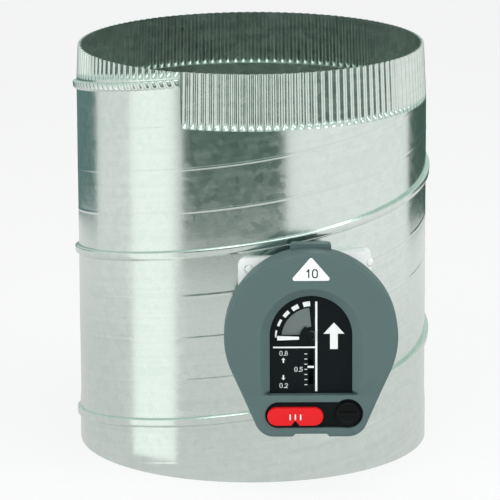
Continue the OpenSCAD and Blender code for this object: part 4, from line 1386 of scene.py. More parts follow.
class CoverOutlines:
    """Outlines in the face of the cover."""

    def __init__(self, size: HousingSize, steps: OutlineSteps = OutlineSteps()) -> None:
        """Keeps the sizes.

        Args:
            size: Sizes of the cover.
            steps: How finely the outlines are divided.
        """
        self.size = size
        self.steps = steps

    def outside(self, inset: float = 0.0) -> list[Point]:
        """Outline of the cover, counterclockwise.

        Args:
            inset: Distance inside the outer wall.

        Returns:
            The points.
        """
        size, steps = self.size, self.steps
        foot = (size.foot_x, -size.foot_drop)
        reach = math.hypot(*foot)
        slant = math.acos((size.head_r - size.foot_r) / reach)
        lean = math.degrees(math.atan2(foot[1], foot[0]) + slant)
        head = arc((0.0, 0.0), size.head_r - inset, lean, 180.0 - lean, steps.head)
        left = arc((-foot[0], foot[1]), size.foot_r - inset, 180.0 - lean, 270.0, steps.foot)
        right = arc(foot, size.foot_r - inset, -90.0, lean, steps.foot)
        base = []
        for x, y in between((-foot[0], left[-1][1]), (foot[0], left[-1][1]), steps.base):
            share = (size.notch_half - abs(x)) / (2 * size.notch_soft) + 0.5
            base.append((x, y + size.notch_rise * smooth(share)))
        left_flank = between(head[-1], left[0], steps.flank)
        right_flank = between(right[-1], head[0], steps.flank)
        return [*head, *left_flank, *left, *base, *right, *right_flank]

    def arch(self, grow: float) -> list[Point]:
        """Line round the top and sides of the arch, counterclockwise from its right foot.

        Args:
            grow: Distance outside the opening.

        Returns:
            The points.
        """
        steps = self.steps
        wide = self.size.arch_r + grow
        foot = -self.size.arch_drop
        top = arc((0.0, 0.0), wide, 0.0, 180.0, steps.arch)
        return [
            (wide, foot), *between((wide, foot), top[0], steps.arch_side), *top,
            *between(top[-1], (-wide, foot), steps.arch_side), (-wide, foot),
        ]

    def slot(self, grow: float) -> list[Point]:
        """Outline of the recess for slide and knob, counterclockwise.

        Args:
            grow: Distance outside the recess.

        Returns:
            The points.
        """
        size, steps = self.size, self.steps
        half, round_r = size.slot_half + grow, size.recess_r + grow
        knob = (size.knob_x, size.knob_y)
        low = math.degrees(math.asin((size.slot_y - half - knob[1]) / round_r))
        high = math.degrees(math.asin((size.slot_y + half - knob[1]) / round_r))
        disc = arc(knob, round_r, -180.0 - low, 180.0 - high, steps.knob)
        bar = arc((size.slot_half - size.slot_left, size.slot_y), half, 90.0, 270.0, steps.slide)
        upper = between(disc[-1], bar[0], steps.slot_side)
        lower = between(bar[-1], disc[0], steps.slot_side)
        return [*disc, *upper, *bar, *lower]

    def label(self, grow: float) -> list[Point]:
        """Outline of the triangular label, counterclockwise.

        Args:
            grow: Distance outside the label.

        Returns:
            The points.
        """
        size, r, count = self.size, self.size.label_r, self.steps.label
        half, low, high = size.label_half - r, size.label_low + r, size.label_high - r
        tilt = math.degrees(math.atan2(half, high - low))
        return [
            *arc((half, low), r + grow, -90.0, tilt, count),
            *arc((0.0, high), r + grow, tilt, 180.0 - tilt, count),
            *arc((-half, low), r + grow, 180.0 - tilt, 270.0, count),
        ]


class Drawing:
    """Points and edges of the cover's face before it becomes a mesh."""

    def __init__(self) -> None:
        """Starts an empty drawing."""
        self.places: list[Point] = []
        self.drops: list[float] = []
        self.edges: list[tuple[int, int]] = []

    def free(self, points: Sequence[Point], drop: float = 0.0) -> range:
        """Adds points that nothing joins.

        Args:
            points: The points.
            drop: How far they lie below the face.

        Returns:
            The numbers of the points.
        """
        start = len(self.places)
        self.places.extend(points)
        self.drops.extend([drop] * len(points))
        return range(start, len(self.places))

    def line(self, points: Sequence[Point], drop: float = 0.0, closed: bool = True) -> range:
        """Adds a line of points that stay joined.

        Args:
            points: Points of the line.
            drop: How far they lie below the face.
            closed: Whether the last point joins the first.

        Returns:
            The numbers of the points.
        """
        numbers = self.free(points, drop)
        self.edges.extend(zip(numbers, numbers[1:]))
        if closed:
            self.edges.append((numbers[-1], numbers[0]))
        return numbers


class ControlHousing:
    """Front cover of the control housing."""

    def __init__(
        self, size: HousingSize = HousingSize(), spacing: CoverSpacing = CoverSpacing()
    ) -> None:
        """Keeps the sizes.

        Args:
            size: Sizes of the cover.
            spacing: Spacing of the points in its mesh.
        """
        self.size = size
        self.spacing = spacing
        self.lines = CoverOutlines(size)

    def build(self, shop: Workshop) -> None:
        """Builds and publishes the cover.

        Args:
            shop: Workshop that publishes it.
        """
        skin = self._cover().thicken(lambda vertex: vertex.normal * -self.size.wall * MM)
        made = ("front_cover", skin, Slot.SLATE, Body.DUCT, ["housing_cover"])
        shop.publish(*made, crease=32.0)

    def height(self, x: float, y: float) -> float:
        """Depth of the face in front of the duct axis, before its edges are rounded.

        Args:
            x: Distance to the right of the axle.
            y: Distance above the axle.

        Returns:
            The depth.
        """
        size = self.size
        side, above = abs(x), y + size.arch_drop
        fade_start, fade_run = size.block_fade
        edge = size.block_edge_r * (1.0 - smooth((side - fade_start) / fade_run))
        near = min(1.0, max(0.0, -above / size.block_edge_r))
        sunk = size.block - edge * (1.0 - math.sqrt(1.0 - (1.0 - near) ** 2))
        if above <= 0.0:
            return sunk
        values = [size.face]
        grow = (math.hypot(x, y) if y > 0.0 else side) - size.arch_r
        if grow < size.roll:
            slope = max(0.0, grow) / size.roll
            values.append(size.roll_foot + (size.face - size.roll_foot) * slope)
        if side > size.crease[0][0]:
            rise = above / (size.crease_height(side) + size.arch_drop)
            values.append(size.block + (size.face - size.block) * rise)
        lowest = min(values)
        total = sum(math.exp((lowest - value) / size.softness) for value in values)
        upper = lowest - size.softness * math.log(total) * (1.0 if lowest < size.face else 0.0)
        return sunk + (upper - sunk) * smooth(above / size.sill_soft)

    def _wanted_points(self) -> list[Point]:
        """Points that would serve the face well, before any is left out.

        Returns:
            The points.
        """
        size, plan = self.size, self.spacing
        across = math.ceil(size.head_r / plan.mesh)
        down = math.ceil((size.foot_drop + size.foot_r) / plan.mesh)
        wanted = [
            (plan.mesh * i, plan.mesh * (j + 0.5 * (i % 2)))
            for i in range(-across, across + 1)
            for j in range(-down, across + 1)
        ]
        for i in range(plan.crease_count):
            side = size.crease[0][0] + plan.crease_step * i
            crease = size.crease_height(side)
            wanted += [(s * side, crease + step) for s in (-1, 1) for step in plan.crease_sides]
        sill = -size.arch_drop
        for i in range(-plan.sill_count, plan.sill_count + 1):
            wanted += [(plan.sill_step * i, sill - down) for down in plan.sill_downs]
        for s in (-1, 1):
            for i in range(plan.jamb_count):
                side = plan.jamb_start + plan.jamb_step * i
                wanted += [(s * side, sill + up) for up in plan.sill_ups]
        return wanted

    def _free_points(self) -> list[Point]:
        """Points of the face away from its outlines.

        Returns:
            The points.
        """
        size, lines, plan = self.size, self.lines, self.spacing
        rim = lines.outside(size.edge_r + plan.clear_rim)
        arch = lines.arch(plan.clear_arch)
        slope = lines.arch(size.roll + plan.clear_slope)
        keep_out = [
            lines.slot(size.slot_edge_r + plan.clear_slot), lines.label(plan.clear_label),
        ]
        kept: list[Point] = []
        seen: set[tuple[int, int]] = set()
        for place in self._wanted_points():
            key = (round(place[0] / plan.nearest), round(place[1] / plan.nearest))
            hole = arch if place[1] < plan.sill_band - size.arch_drop else slope
            if key in seen or not inside(place, rim):
                continue
            if not any(inside(place, loop) for loop in (hole, *keep_out)):
                seen.add(key)
                kept.append(place)
        return kept

    @staticmethod
    def _wall(
        shape: Shape,
        top: Sequence[bmesh.types.BMVert],
        places: Sequence[Point],
        depth: float,
        turned: bool,
    ) -> list[bmesh.types.BMVert]:
        """Adds a wall from an edge of the face down to a depth.

        Args:
            shape: Mesh that gets it.
            top: Points of the edge.
            places: Where they lie on the face.
            depth: Depth of the wall's foot.
            turned: Whether the wall looks into a hole.

        Returns:
            The points of its foot.
        """
        foot = [shape.mesh.verts.new(on_face(*place, depth)) for place in places]
        for i in range(len(top)):
            n = (i + 1) % len(top)
            ring = (top[i], foot[i], foot[n], top[n])
            shape.mesh.faces.new(ring[::-1] if turned else ring)
        return foot

    def _cover(self) -> Shape:
        """Builds the skin of the cover.

        Returns:
            The shape.
        """
        size, lines, plan = self.size, self.lines, self.spacing
        plane = Drawing()
        edge = rounding(size.edge_r, plan.edge_steps)
        slot_edge = rounding(size.slot_edge_r, plan.slot_edge_steps)
        outer = [plane.line(lines.outside(inset), drop) for inset, drop in edge][0]
        slot = [plane.line(lines.slot(grow), drop) for grow, drop in slot_edge][0]
        label = plane.line(lines.label(size.label_gap))
        opening = lines.arch(0.0)
        arch = plane.line([*opening, *between(opening[-1], opening[0], plan.arch_foot_steps)])
        for step in range(1, plan.slope_steps + 1):
            plane.line(lines.arch(size.roll * step / plan.slope_steps), closed=False)
        plane.free(self._free_points())
        flat = [Vector(place) for place in plane.places]
        filled = geometry.delaunay_2d_cdt(flat, plane.edges, [], 0, SAME_POINT)
        points, _, triangles, sources = filled[:4]
        rim, *holes = [[plane.places[i] for i in loop] for loop in (outer, slot, label, arch)]
        shape = Shape()
        made = []
        for point, numbers in zip(points, sources):
            drop = plane.drops[numbers[0]] if numbers else 0.0
            depth = self.height(point.x, point.y) - drop
            made.append(shape.mesh.verts.new(on_face(point.x, point.y, depth)))
        for face in triangles:
            middle = (sum(points[i].x for i in face) / 3, sum(points[i].y for i in face) / 3)
            if inside(middle, rim) and not any(inside(middle, hole) for hole in holes):
                shape.mesh.faces.new([made[i] for i in face])
        where = {old: new for new, numbers in enumerate(sources) for old in numbers}
        for loop, depth, turned in (
            (outer, size.split, False), (slot, size.slot_hold, True),
            (label, size.face - size.label_sink, True), (arch, size.panel_hold, True),
        ):
            top = [made[where[i]] for i in loop]
            foot = self._wall(shape, top, [plane.places[i] for i in loop], depth, turned)
            if loop is label:
                shape.mesh.faces.new(foot)
        loose = [vertex for vertex in shape.mesh.verts if not vertex.link_faces]
        bmesh.ops.delete(shape.mesh, geom=loose, context="VERTS")
        return shape


@dataclass(frozen=True)
class SaddleSize:
    """Places of the four fixings of the saddle, in millimetres and degrees."""

    seats: tuple[Point, ...] = ((-90.897, 130.305), (-53.197, 138.727))
    heights: tuple[float, ...] = (-34.0, 43.3)
    steps: int = 28
    caps: tuple[Point, ...] = (
        (3.1, -1.0), (3.2, 0.0), (3.1, 0.5), (2.7, 0.9), (2.0, 1.15), (1.0, 1.28), (0.2, 1.3),
    )


class SaddleCaps:
    """White caps over the rivets of the saddle."""

    def __init__(self, size: SaddleSize = SaddleSize()) -> None:
        """Keeps the sizes.

        Args:
            size: Places of the caps.
        """
        self.size = size

    def build(self, shop: Workshop) -> None:
        """Builds and publishes the caps.

        Args:
            shop: Workshop that publishes them.
        """
        shape = Shape()
        for turn, seat in self.size.seats:
            for height in self.size.heights:
                self._cap(shape, turn, seat, height)
        made = ("rivet_caps", shape.tidy(), Slot.WHITE, Body.DUCT, ["saddle_rivets"])
        shop.publish(*made, crease=40.0)

    def _cap(self, shape: Shape, turn: float, seat: float, height: float) -> None:
        """Adds one cap.

        Args:
            shape: Mesh that gets it.
            turn: Angle of the rivet from +X, in degrees.
            seat: Distance of its foot from the duct axis.
            height: Height above the axle.
        """
        a = math.radians(turn)
        out = Vector((math.cos(a), math.sin(a), 0.0))
        side = Vector((-math.sin(a), math.cos(a), 0.0))
        base = out * seat + Vector((0.0, 0.0, AXLE_Z + height))

        def place(x: float, y: float, depth: float) -> Vector:
            """Place of a point of the cap, by its depth along the rivet."""
            return (base + side * x + Vector((0.0, 0.0, y)) + out * depth) * MM

        shape.spun(self.size.caps, self.size.steps, place)


@dataclass(frozen=True)
class DialSize:
    """Places of the marks, in millimetres from the axle."""

    face: float = 150.0
    ink: float = 0.2
    dash_r: float = 26.3
    dashes: tuple[Point, ...] = ((6.0, 1.25), (25.0, 1.8), (43.0, 2.6), (61.0, 3.1), (80.5, 3.5))
    dash_spread: float = 5.8
    centre: Point = (1.0, -1.5)
    field: tuple[float, float, float, float] = (8.0, 21.6, 2.0, 84.0)
    divider: tuple[float, float, float, float] = (3.7, 1.5, -40.6, 24.6)
    cross: tuple[float, float, float, float] = (-8.6, 1.1, -26.6, 3.0)
    ticks_x: float = -3.6
    ticks_y: tuple[float, float] = (-35.8, -13.4)
    tick_count: int = 7
    tick: Point = (2.0, 0.5)
    arrow: Point = (16.1, -1.9)
    arrow_line: tuple[Point, ...] = (
        (0.0, 11.2), (-7.3, 3.1), (-2.7, 3.1), (-2.7, -8.0), (2.7, -8.0), (2.7, 3.1), (7.3, 3.1),
    )
    numbers: tuple[tuple[str, float, float], ...] = (
        ("0.8", -19.2, -12.9), ("0.5", -8.7, -24.6), ("0.2", -19.2, -36.4),
    )
    digit: tuple[float, float, float] = (1.7, 3.0, 0.5)
    digit_pitch: float = 2.4
    small_arrows: tuple[Point, ...] = ((-18.0, 0.19), (-30.6, -0.19))
    small_arrow_x: float = -19.4
    arrow_middle: float = 1.6


@dataclass(frozen=True)
class LabelSize:
    """Sizes of the white label above the dial, in millimetres."""

    low: float = 157.6
    top: float = 157.96
    ink_top: float = 158.0
    edge_r: float = 0.15
    number: str = "10"
    middle: Point = (0.4, 46.6)
    digit: tuple[float, float, float] = (3.3, 5.6, 0.85)
    digit_pitch: float = 4.5
    ink_root: float = 0.1


# Strokes of each sign, in a box of width 1 and height 1
STROKES: dict[str, tuple[tuple[Point, ...], ...]] = {
    "0": ((
        (0.0, 0.2), (0.0, 0.8), (0.25, 1.0), (0.75, 1.0), (1.0, 0.8),
        (1.0, 0.2), (0.75, 0.0), (0.25, 0.0), (0.0, 0.2),
    ),),
    "1": (((0.15, 0.75), (0.55, 1.0), (0.55, 0.0)),),
    "2": ((
        (0.0, 0.8), (0.25, 1.0), (0.75, 1.0), (1.0, 0.78), (0.95, 0.55), (0.0, 0.0), (1.0, 0.0),
    ),),
    "5": ((
        (0.95, 1.0), (0.1, 1.0), (0.05, 0.55), (0.7, 0.6),
        (1.0, 0.35), (0.8, 0.05), (0.25, 0.0), (0.0, 0.15),
    ),),
    "8": ((
        (0.2, 0.54), (0.05, 0.78), (0.3, 1.0), (0.7, 1.0), (0.95, 0.78), (0.8, 0.54),
        (0.2, 0.54), (0.0, 0.26), (0.25, 0.0), (0.75, 0.0), (1.0, 0.26), (0.8, 0.54),
    ),),
    ".": (((0.3, 0.0), (0.5, 0.0)),),
}


# Degrees from point to point of a printed arc
ARC_STEP = 3.0
# Fewest pieces of a printed arc
ARC_LEAST = 4
# Width of a decimal point, as a share of a digit's
POINT_ADVANCE = 0.55
# How far a line runs past its ends, as a share of half its width
LINE_END = 0.7


class Ink:
    """Flat printed marks on a level face."""

    def __init__(self, low: float, high: float) -> None:
        """Starts an empty print.

        Args:
            low: Depth of the face that carries it.
            high: Depth of the ink's surface.
        """
        self.low = low
        self.high = high
        self.shape = Shape()

    def area(self, outline: Sequence[Point]) -> "Ink":
        """Adds a filled outline.

        Args:
            outline: Its points, counterclockwise.

        Returns:
            The print itself.
        """
        self.shape.prism(outline, self.low, self.high, on_face)
        return self

    def bar(self, x: float, y: float, wide: float, high: float) -> "Ink":
        """Adds a level bar.

        Args:
            x: Middle of the bar.
            y: Height of its middle.
            wide: Width.
            high: Height.

        Returns:
            The print itself.
        """
        w, h = wide / 2, high / 2
        return self.area([(x - w, y - h), (x + w, y - h), (x + w, y + h), (x - w, y + h)])

    def ring_part(
        self, inner: float, outer: float, first: float, last: float, centre: Point = (0.0, 0.0)
    ) -> "Ink":
        """Adds part of a ring to the left of the axle.

        Args:
            inner: Inner radius.
            outer: Outer radius.
            first: Angle above the level line where it starts, in degrees.
            last: Angle where it ends.
            centre: Centre of the ring.

        Returns:
            The print itself.
        """
        steps = max(ARC_LEAST, round((last - first) / ARC_STEP))
        far = arc(centre, outer, 180.0 - last, 180.0 - first, steps)
        near = arc(centre, inner, 180.0 - first, 180.0 - last, steps)
        return self.area([*far, *near])

    def stroke(self, points: Sequence[Point], wide: float) -> "Ink":
        """Adds a line of even width whose pieces overlap a little at the corners.

        Args:
            points: Points of the line.
            wide: Its width.

        Returns:
            The print itself.
        """
        for (ax, ay), (bx, by) in zip(points, points[1:]):
            length = math.hypot(bx - ax, by - ay) or 1.0
            ux, uy = (bx - ax) / length * wide / 2, (by - ay) / length * wide / 2
            ex, ey = ux * LINE_END, uy * LINE_END
            self.area([
                (ax - ex + uy, ay - ey - ux), (bx + ex + uy, by + ey - ux),
                (bx + ex - uy, by + ey + ux), (ax - ex - uy, ay - ey + ux),
            ])
        return self

    def number(
        self, text: str, middle: Point, digit: tuple[float, float, float], pitch: float
    ) -> "Ink":
        """Adds a plain number.

        Args:
            text: Digits and points.
            middle: Middle of the number.
            digit: Width, height and line width of a digit.
            pitch: Distance from one digit to the next.

        Returns:
            The print itself.
        """
        wide, high, line = digit
        advance = [pitch * (POINT_ADVANCE if sign == "." else 1.0) for sign in text]
        x = middle[0] - (sum(advance) - (pitch - wide)) / 2
        for sign, step in zip(text, advance):
            for points in STROKES[sign]:
                path = [(x + wide * px, middle[1] + high * (py - 0.5)) for px, py in points]
                self.stroke(path, line)
            x += step
        return self


@dataclass(frozen=True)
class IndicatorSize:
    """Sizes of the blade indicator, in millimetres."""

    low: float = 150.3
    arm_top: float = 151.6
    arm_half: float = 1.9
    tip: float = 23.9
    hub: tuple[Point, ...] = (
        (2.7, 150.3), (2.85, 150.5), (2.85, 152.0), (2.7, 152.25), (2.3, 152.35), (1.0, 152.4),
    )
    hub_steps: int = 56
    paddle: tuple[float, float] = (7.6, 62.0)
    paddle_steps: int = 28
    paddle_rise: float = 0.1
    bar_drop: float = -1.4
    bar_low: float = 151.6
    bar_top: float = 152.4
    bar_start: float = 8.4
    bar_end: float = 23.7
    bar_start_half: float = 1.0
    bar_end_half: float = 1.6


class Dial:
    """Marks of the dial, label and blade indicator."""

    def __init__(
        self,
        size: DialSize = DialSize(),
        label: LabelSize = LabelSize(),
        indicator: IndicatorSize = IndicatorSize(),
        cover: HousingSize = HousingSize(),
    ) -> None:
        """Keeps the sizes.

        Args:
            size: Places of the marks.
            label: Sizes of the label.
            indicator: Sizes of the indicator.
            cover: Sizes of the cover that carries the label.
        """
        self.size = size
        self.label = label
        self.indicator = indicator
        self.lines = CoverOutlines(cover)

    def build(self, shop: Workshop) -> None:
        """Builds and publishes the pieces of the dial.

        Args:
            shop: Workshop that publishes them.
        """
        size = self.size
        shop.publish("dial_print", self._marks(), Slot.WHITE_PRINT, Body.DUCT, ["dial_marks"])
        field_ink = Ink(size.face, size.face + size.ink).ring_part(*size.field, size.centre)
        quarter, grey = field_ink.shape.tidy(), FIELD_GREY.material()
        shop.publish("quarter_field", quarter, Slot.WHITE_PRINT, Body.DUCT, material=grey)
        self._build_label(shop)
        self._build_indicator(shop)

    def _build_label(self, shop: Workshop) -> None:
        """Builds the triangular label and the number on it.

        Args:
            shop: Workshop that publishes them.
        """
        label = self.label
        edge = [(-inset, label.top - drop) for inset, drop in rounding(label.edge_r, 2)]
        rings = [(self.lines.label(grow), depth) for grow, depth in ((0.0, label.low), *edge)]
        plate = Shape().stack(rings, on_face)
        shop.publish("label_plate", plate.tidy(), Slot.WHITE_LABEL, Body.DUCT, ["size_label"])
        ink = Ink(label.top - label.ink_root, label.ink_top)
        ink.number(label.number, label.middle, label.digit, label.digit_pitch)
        shop.publish("label_number", ink.shape.tidy(), Slot.BLACK, Body.DUCT)

    def _build_indicator(self, shop: Workshop) -> None:
        """Builds the black hub with its arm and the white bar on the arm.

        Args:
            shop: Workshop that publishes them.
        """
        hand = self.indicator
        middle = hand.bar_drop
        hub = Shape().spun(hand.hub, hand.hub_steps, on_face)
        low, high = middle - hand.arm_half, middle + hand.arm_half
        arm = [(0.0, low), (0.0, high), (-hand.tip, high), (-hand.tip, low)]
        hub.prism(arm, hand.low, hand.arm_top, on_face)
        reach, spread = hand.paddle
        fan = arc((0.0, 0.0), reach, 180.0 - spread, 180.0 + spread, hand.paddle_steps)
        hub.prism([(0.0, 0.0), *fan], hand.low, hand.arm_top + hand.paddle_rise, on_face)
        black = shop.materials[Slot.BLACK_PANEL]
        arms, bars = ["indicator_arm"], ["indicator_pointer"]
        shop.publish("indicator_hub", hub.tidy(), Slot.BLACK, Body.BLADE, arms, material=black)
        corners = [
            (-hand.bar_start, middle - hand.bar_start_half),
            (-hand.bar_start, middle + hand.bar_start_half),
            (-hand.bar_end, middle + hand.bar_end_half),
            (-hand.bar_end, middle - hand.bar_end_half),
        ]
        bar = Shape().prism(corners, hand.bar_low, hand.bar_top, on_face)
        shop.publish("indicator_bar", bar.tidy(), Slot.WHITE_PRINT, Body.BLADE, bars)

    def _marks(self) -> Shape:
        """Builds the white marks.

        Returns:
            The shape.
        """
        size = self.size
        ink = Ink(size.face, size.face + size.ink)
        for angle, thick in size.dashes:
            ends = angle - size.dash_spread, angle + size.dash_spread
            ink.ring_part(size.dash_r - thick, size.dash_r, *ends, size.centre)
        x, wide, low, high = size.divider
        ink.bar(x, (low + high) / 2, wide, high - low)
        y, thick, left, right = size.cross
        ink.bar((left + right) / 2, y, right - left, thick)
        first, last = size.ticks_y
        for i in range(size.tick_count):
            ink.bar(size.ticks_x, first + (last - first) * i / (size.tick_count - 1), *size.tick)
        ink.area([(size.arrow[0] + px, size.arrow[1] + py) for px, py in size.arrow_line])
        for text, px, py in size.numbers:
            ink.number(text, (px, py), size.digit, size.digit_pitch)
        for height, scale in size.small_arrows:
            ink.area([
                (size.small_arrow_x + scale * px, height + scale * (py - size.arrow_middle))
                for px, py in size.arrow_line
            ])
        return ink.shape.tidy()


@dataclass(frozen=True)
class SlideSize:
    """Sizes of the red lock slide, in millimetres."""

    left: float = -30.8
    right: float = 8.6
    middle: float = -57.4
    half: float = 6.6
    low: float = 153.8
    top: float = 157.85
    edge_r: float = 1.3
    notch_half: float = 3.0
    notch_rise: float = 3.6
    stem: tuple[float, float, float, float] = (-15.1, -7.1, -57.6, -53.6)
    stem_low: float = 150.9
    grips: tuple[float, ...] = (-14.8, -11.1, -7.4)
    grip: Point = (0.9, 4.2)
    grip_rise: float = 0.15
    grip_root: float = 0.3
    grip_steps: int = 8
    edge_steps: int = 5
    end_steps: int = 24


@dataclass(frozen=True)
class KnobSize:
    """Sizes of the adjusting knob, in millimetres."""

    place: Point = (25.9, -55.6)
    profile: tuple[Point, ...] = (
        (2.5, 133.5), (2.5, 153.8), (7.9, 153.8), (8.5, 154.3), (8.5, 156.0),
        (8.35, 156.6), (7.9, 157.05), (7.3, 157.2), (6.7, 157.05), (6.4, 156.7),
        (5.6, 156.2), (3.8, 155.9), (1.0, 155.8),
    )
    steps: int = 72
    grip: tuple[float, float, float, float] = (6.6, 1.2, 155.6, 156.9)


class LockGroup:
    """Red lock slide and black adjusting knob in their recess."""

    def __init__(self, slide: SlideSize = SlideSize(), knob: KnobSize = KnobSize()) -> None:
        """Keeps the sizes.

        Args:
            slide: Sizes of the slide.
            knob: Sizes of the knob.
        """
        self.slide = slide
        self.knob = knob

    def build(self, shop: Workshop) -> None:
        """Builds and publishes slide and knob.

        Args:
            shop: Workshop that publishes them.
        """
        self._build_slide(shop)
        self._build_knob(shop)

    def _build_slide(self, shop: Workshop) -> None:
        """Builds the red slide and the white grips on it.

        Args:
            shop: Workshop that publishes them.
        """
        slide = self.slide
        rim = rounding(slide.edge_r, slide.edge_steps)
        edge = [(-inset, slide.top - drop) for inset, drop in rim]
        rings = [(self._outline(grow), depth) for grow, depth in ((0.0, slide.low), *edge)]
        body = Shape().stack(rings, on_face)
        left, right, low, high = slide.stem
        stem = [(left, low), (right, low), (right, high), (left, high)]
        body.prism(stem, slide.stem_low, slide.low, on_face)
        shop.publish("slide_body", body.tidy(), Slot.RED, Body.LOCK, ["lock_slider"])
        round_r, reach = slide.grip[0] / 2, (slide.grip[1] - slide.grip[0]) / 2
        ink = Ink(slide.top - slide.grip_root, slide.top + slide.grip_rise)
        for x in slide.grips:
            ink.area([
                *arc((x, slide.middle + reach), round_r, 0.0, 180.0, slide.grip_steps),
                *arc((x, slide.middle - reach), round_r, 180.0, 360.0, slide.grip_steps),
            ])
        shop.publish("slide_grips", ink.shape.tidy(), Slot.WHITE_PRINT, Body.LOCK)

    def _build_knob(self, shop: Workshop) -> None:
        """Builds the black knob with its grip bar.

        Args:
            shop: Workshop that publishes it.
        """
        knob = self.knob

        def place(x: float, y: float, depth: float) -> Vector:
            """Place of a point, measured from the knob's axis."""
            return on_face(knob.place[0] + x, knob.place[1] + y, depth)

        cap = Shape().spun(knob.profile, knob.steps, place)
        half, thick, low, high = knob.grip
        bar = [(-half, -thick), (half, -thick), (half, thick), (-half, thick)]
        cap.prism(bar, low, high, place)
        shop.publish("knob_cap", cap.tidy(), Slot.BLACK, Body.KNOB, ["adjusting_knob"])

    def _outline(self, grow: float) -> list[Point]:
        """Outline of the slide with its notch, counterclockwise from the notch.

        Args:
            grow: Distance outside the slide's wall; below zero inside it.

        Returns:
            The points.
        """
        slide = self.slide
        half = slide.half + grow
        low = slide.middle - half
        centre = (slide.left + slide.right) / 2
        wide = slide.notch_half - grow
        tip = slide.middle - slide.half + slide.notch_rise - grow
        right = arc((slide.right - slide.half, slide.middle), half, -90.0, 90.0, slide.end_steps)
        left = arc((slide.left + slide.half, slide.middle), half, 90.0, 270.0, slide.end_steps)
        return [(centre, tip), (centre + wide, low), *right, *left, (centre - wide, low)]


@dataclass(frozen=True)
class CameraSize:
    """Place and lens of the camera, fitted to the rims of the duct in the photograph."""

    place: tuple[float, float, float] = (0.0, -2.610, 0.781)
    pitch: float = 76.19
    roll: float = -0.25
    yaw: float = 0.034
    lens: float = 261.8
    sensor: float = 36.0
    clip_end: float = 60.0


@dataclass(frozen=True)
class Lamp:
    """Soft light of the studio."""

    name: str
    place: tuple[float, float, float]
    aim: tuple[float, float, float]
    width: float
    height: float
    power: float
    mirrored: bool = True


@dataclass(frozen=True)
class Card:
    """Strip of the floor that one part of the duct's wall mirrors, seen only in reflections."""

    name: str
    first: float
    last: float
    near: float
    far: float
    tone: Colour
    steps: int = 24
    rise: float = 0.002


@dataclass(frozen=True)
class FloorLook:
    """Size and tones of the floor, in metres; the tone that metal mirrors carries painted light
    towards the right and a painted shadow near the object.
    """

    half: float = 9.0
    tone: Colour = (0.93, 0.93, 0.93)
    white_share: float = 0.82
    mirrored: Colour = (0.98, 1.0, 0.985)
    # Floor tone that metal mirrors on the left, held darker as painted shade; painted light
    # brightens it towards the right
    left: float = 0.76
    painted_light_right_gain: float = 0.1
    painted_light_right_range: Point = (-0.3, 0.5)
    # Mirrored floor tone next to the object, darkened as a painted shadow that fades further out
    near: float = 0.88
    painted_shadow_depth: float = 0.17
    painted_shadow_fade: Point = (0.25, 0.9)


@dataclass(frozen=True)
class RoomLook:
    """Tones of the surroundings: as light, as seen in metal, and as the camera sees them."""

    light: Colour = (0.86, 1.0, 0.95)
    light_strength: float = 0.3
    mirrored: Colour = (0.80, 0.98, 0.91)
    mirrored_strength: float = 0.72
    seen: Colour = (1.0, 1.0, 1.0)
    seen_strength: float = 1.0


# Distance from the duct's centre line at which the reflected strips start, in metres
WALL_RADIUS = 0.13
LAMPS: tuple[Lamp, ...] = (
    Lamp("key", (-1.1, -1.9, 2.1), (0.0, 0.0, 0.12), 1.6, 1.2, 12.0),
    Lamp("fill", (1.9, -1.6, 1.5), (0.0, 0.0, 0.12), 1.2, 1.2, 9.0),
    Lamp("low_left", (-1.7, -0.75, 0.25), (0.05, -0.15, 0.1), 0.9, 0.5, 16.0, False),
    Lamp("right", (1.8, -0.75, 0.8), (0.05, -0.15, 0.1), 0.9, 0.9, 12.0, False),
    Lamp("bounce", (0.1, -1.1, 0.05), (0.04, -0.15, 0.1), 1.5, 0.6, 5.0, False),
    Lamp("top", (0.2, -0.2, 2.4), (0.0, 0.0, 0.2), 1.8, 1.8, 16.0),
)
CARDS: tuple[Card, ...] = (
    Card("front_card", -136.0, -68.0, 0.67, 6.0, (0.07, 0.12, 0.10)),
    Card("right_card", 36.0, 90.0, 0.70, 6.0, (0.06, 0.11, 0.09)),
    Card("left_card", -270.0, -213.0, 0.72, 6.0, (0.12, 0.20, 0.195)),
    Card("bright_card", -176.0, -142.0, 0.03, 6.0, (1.04, 1.10, 1.06)),
)


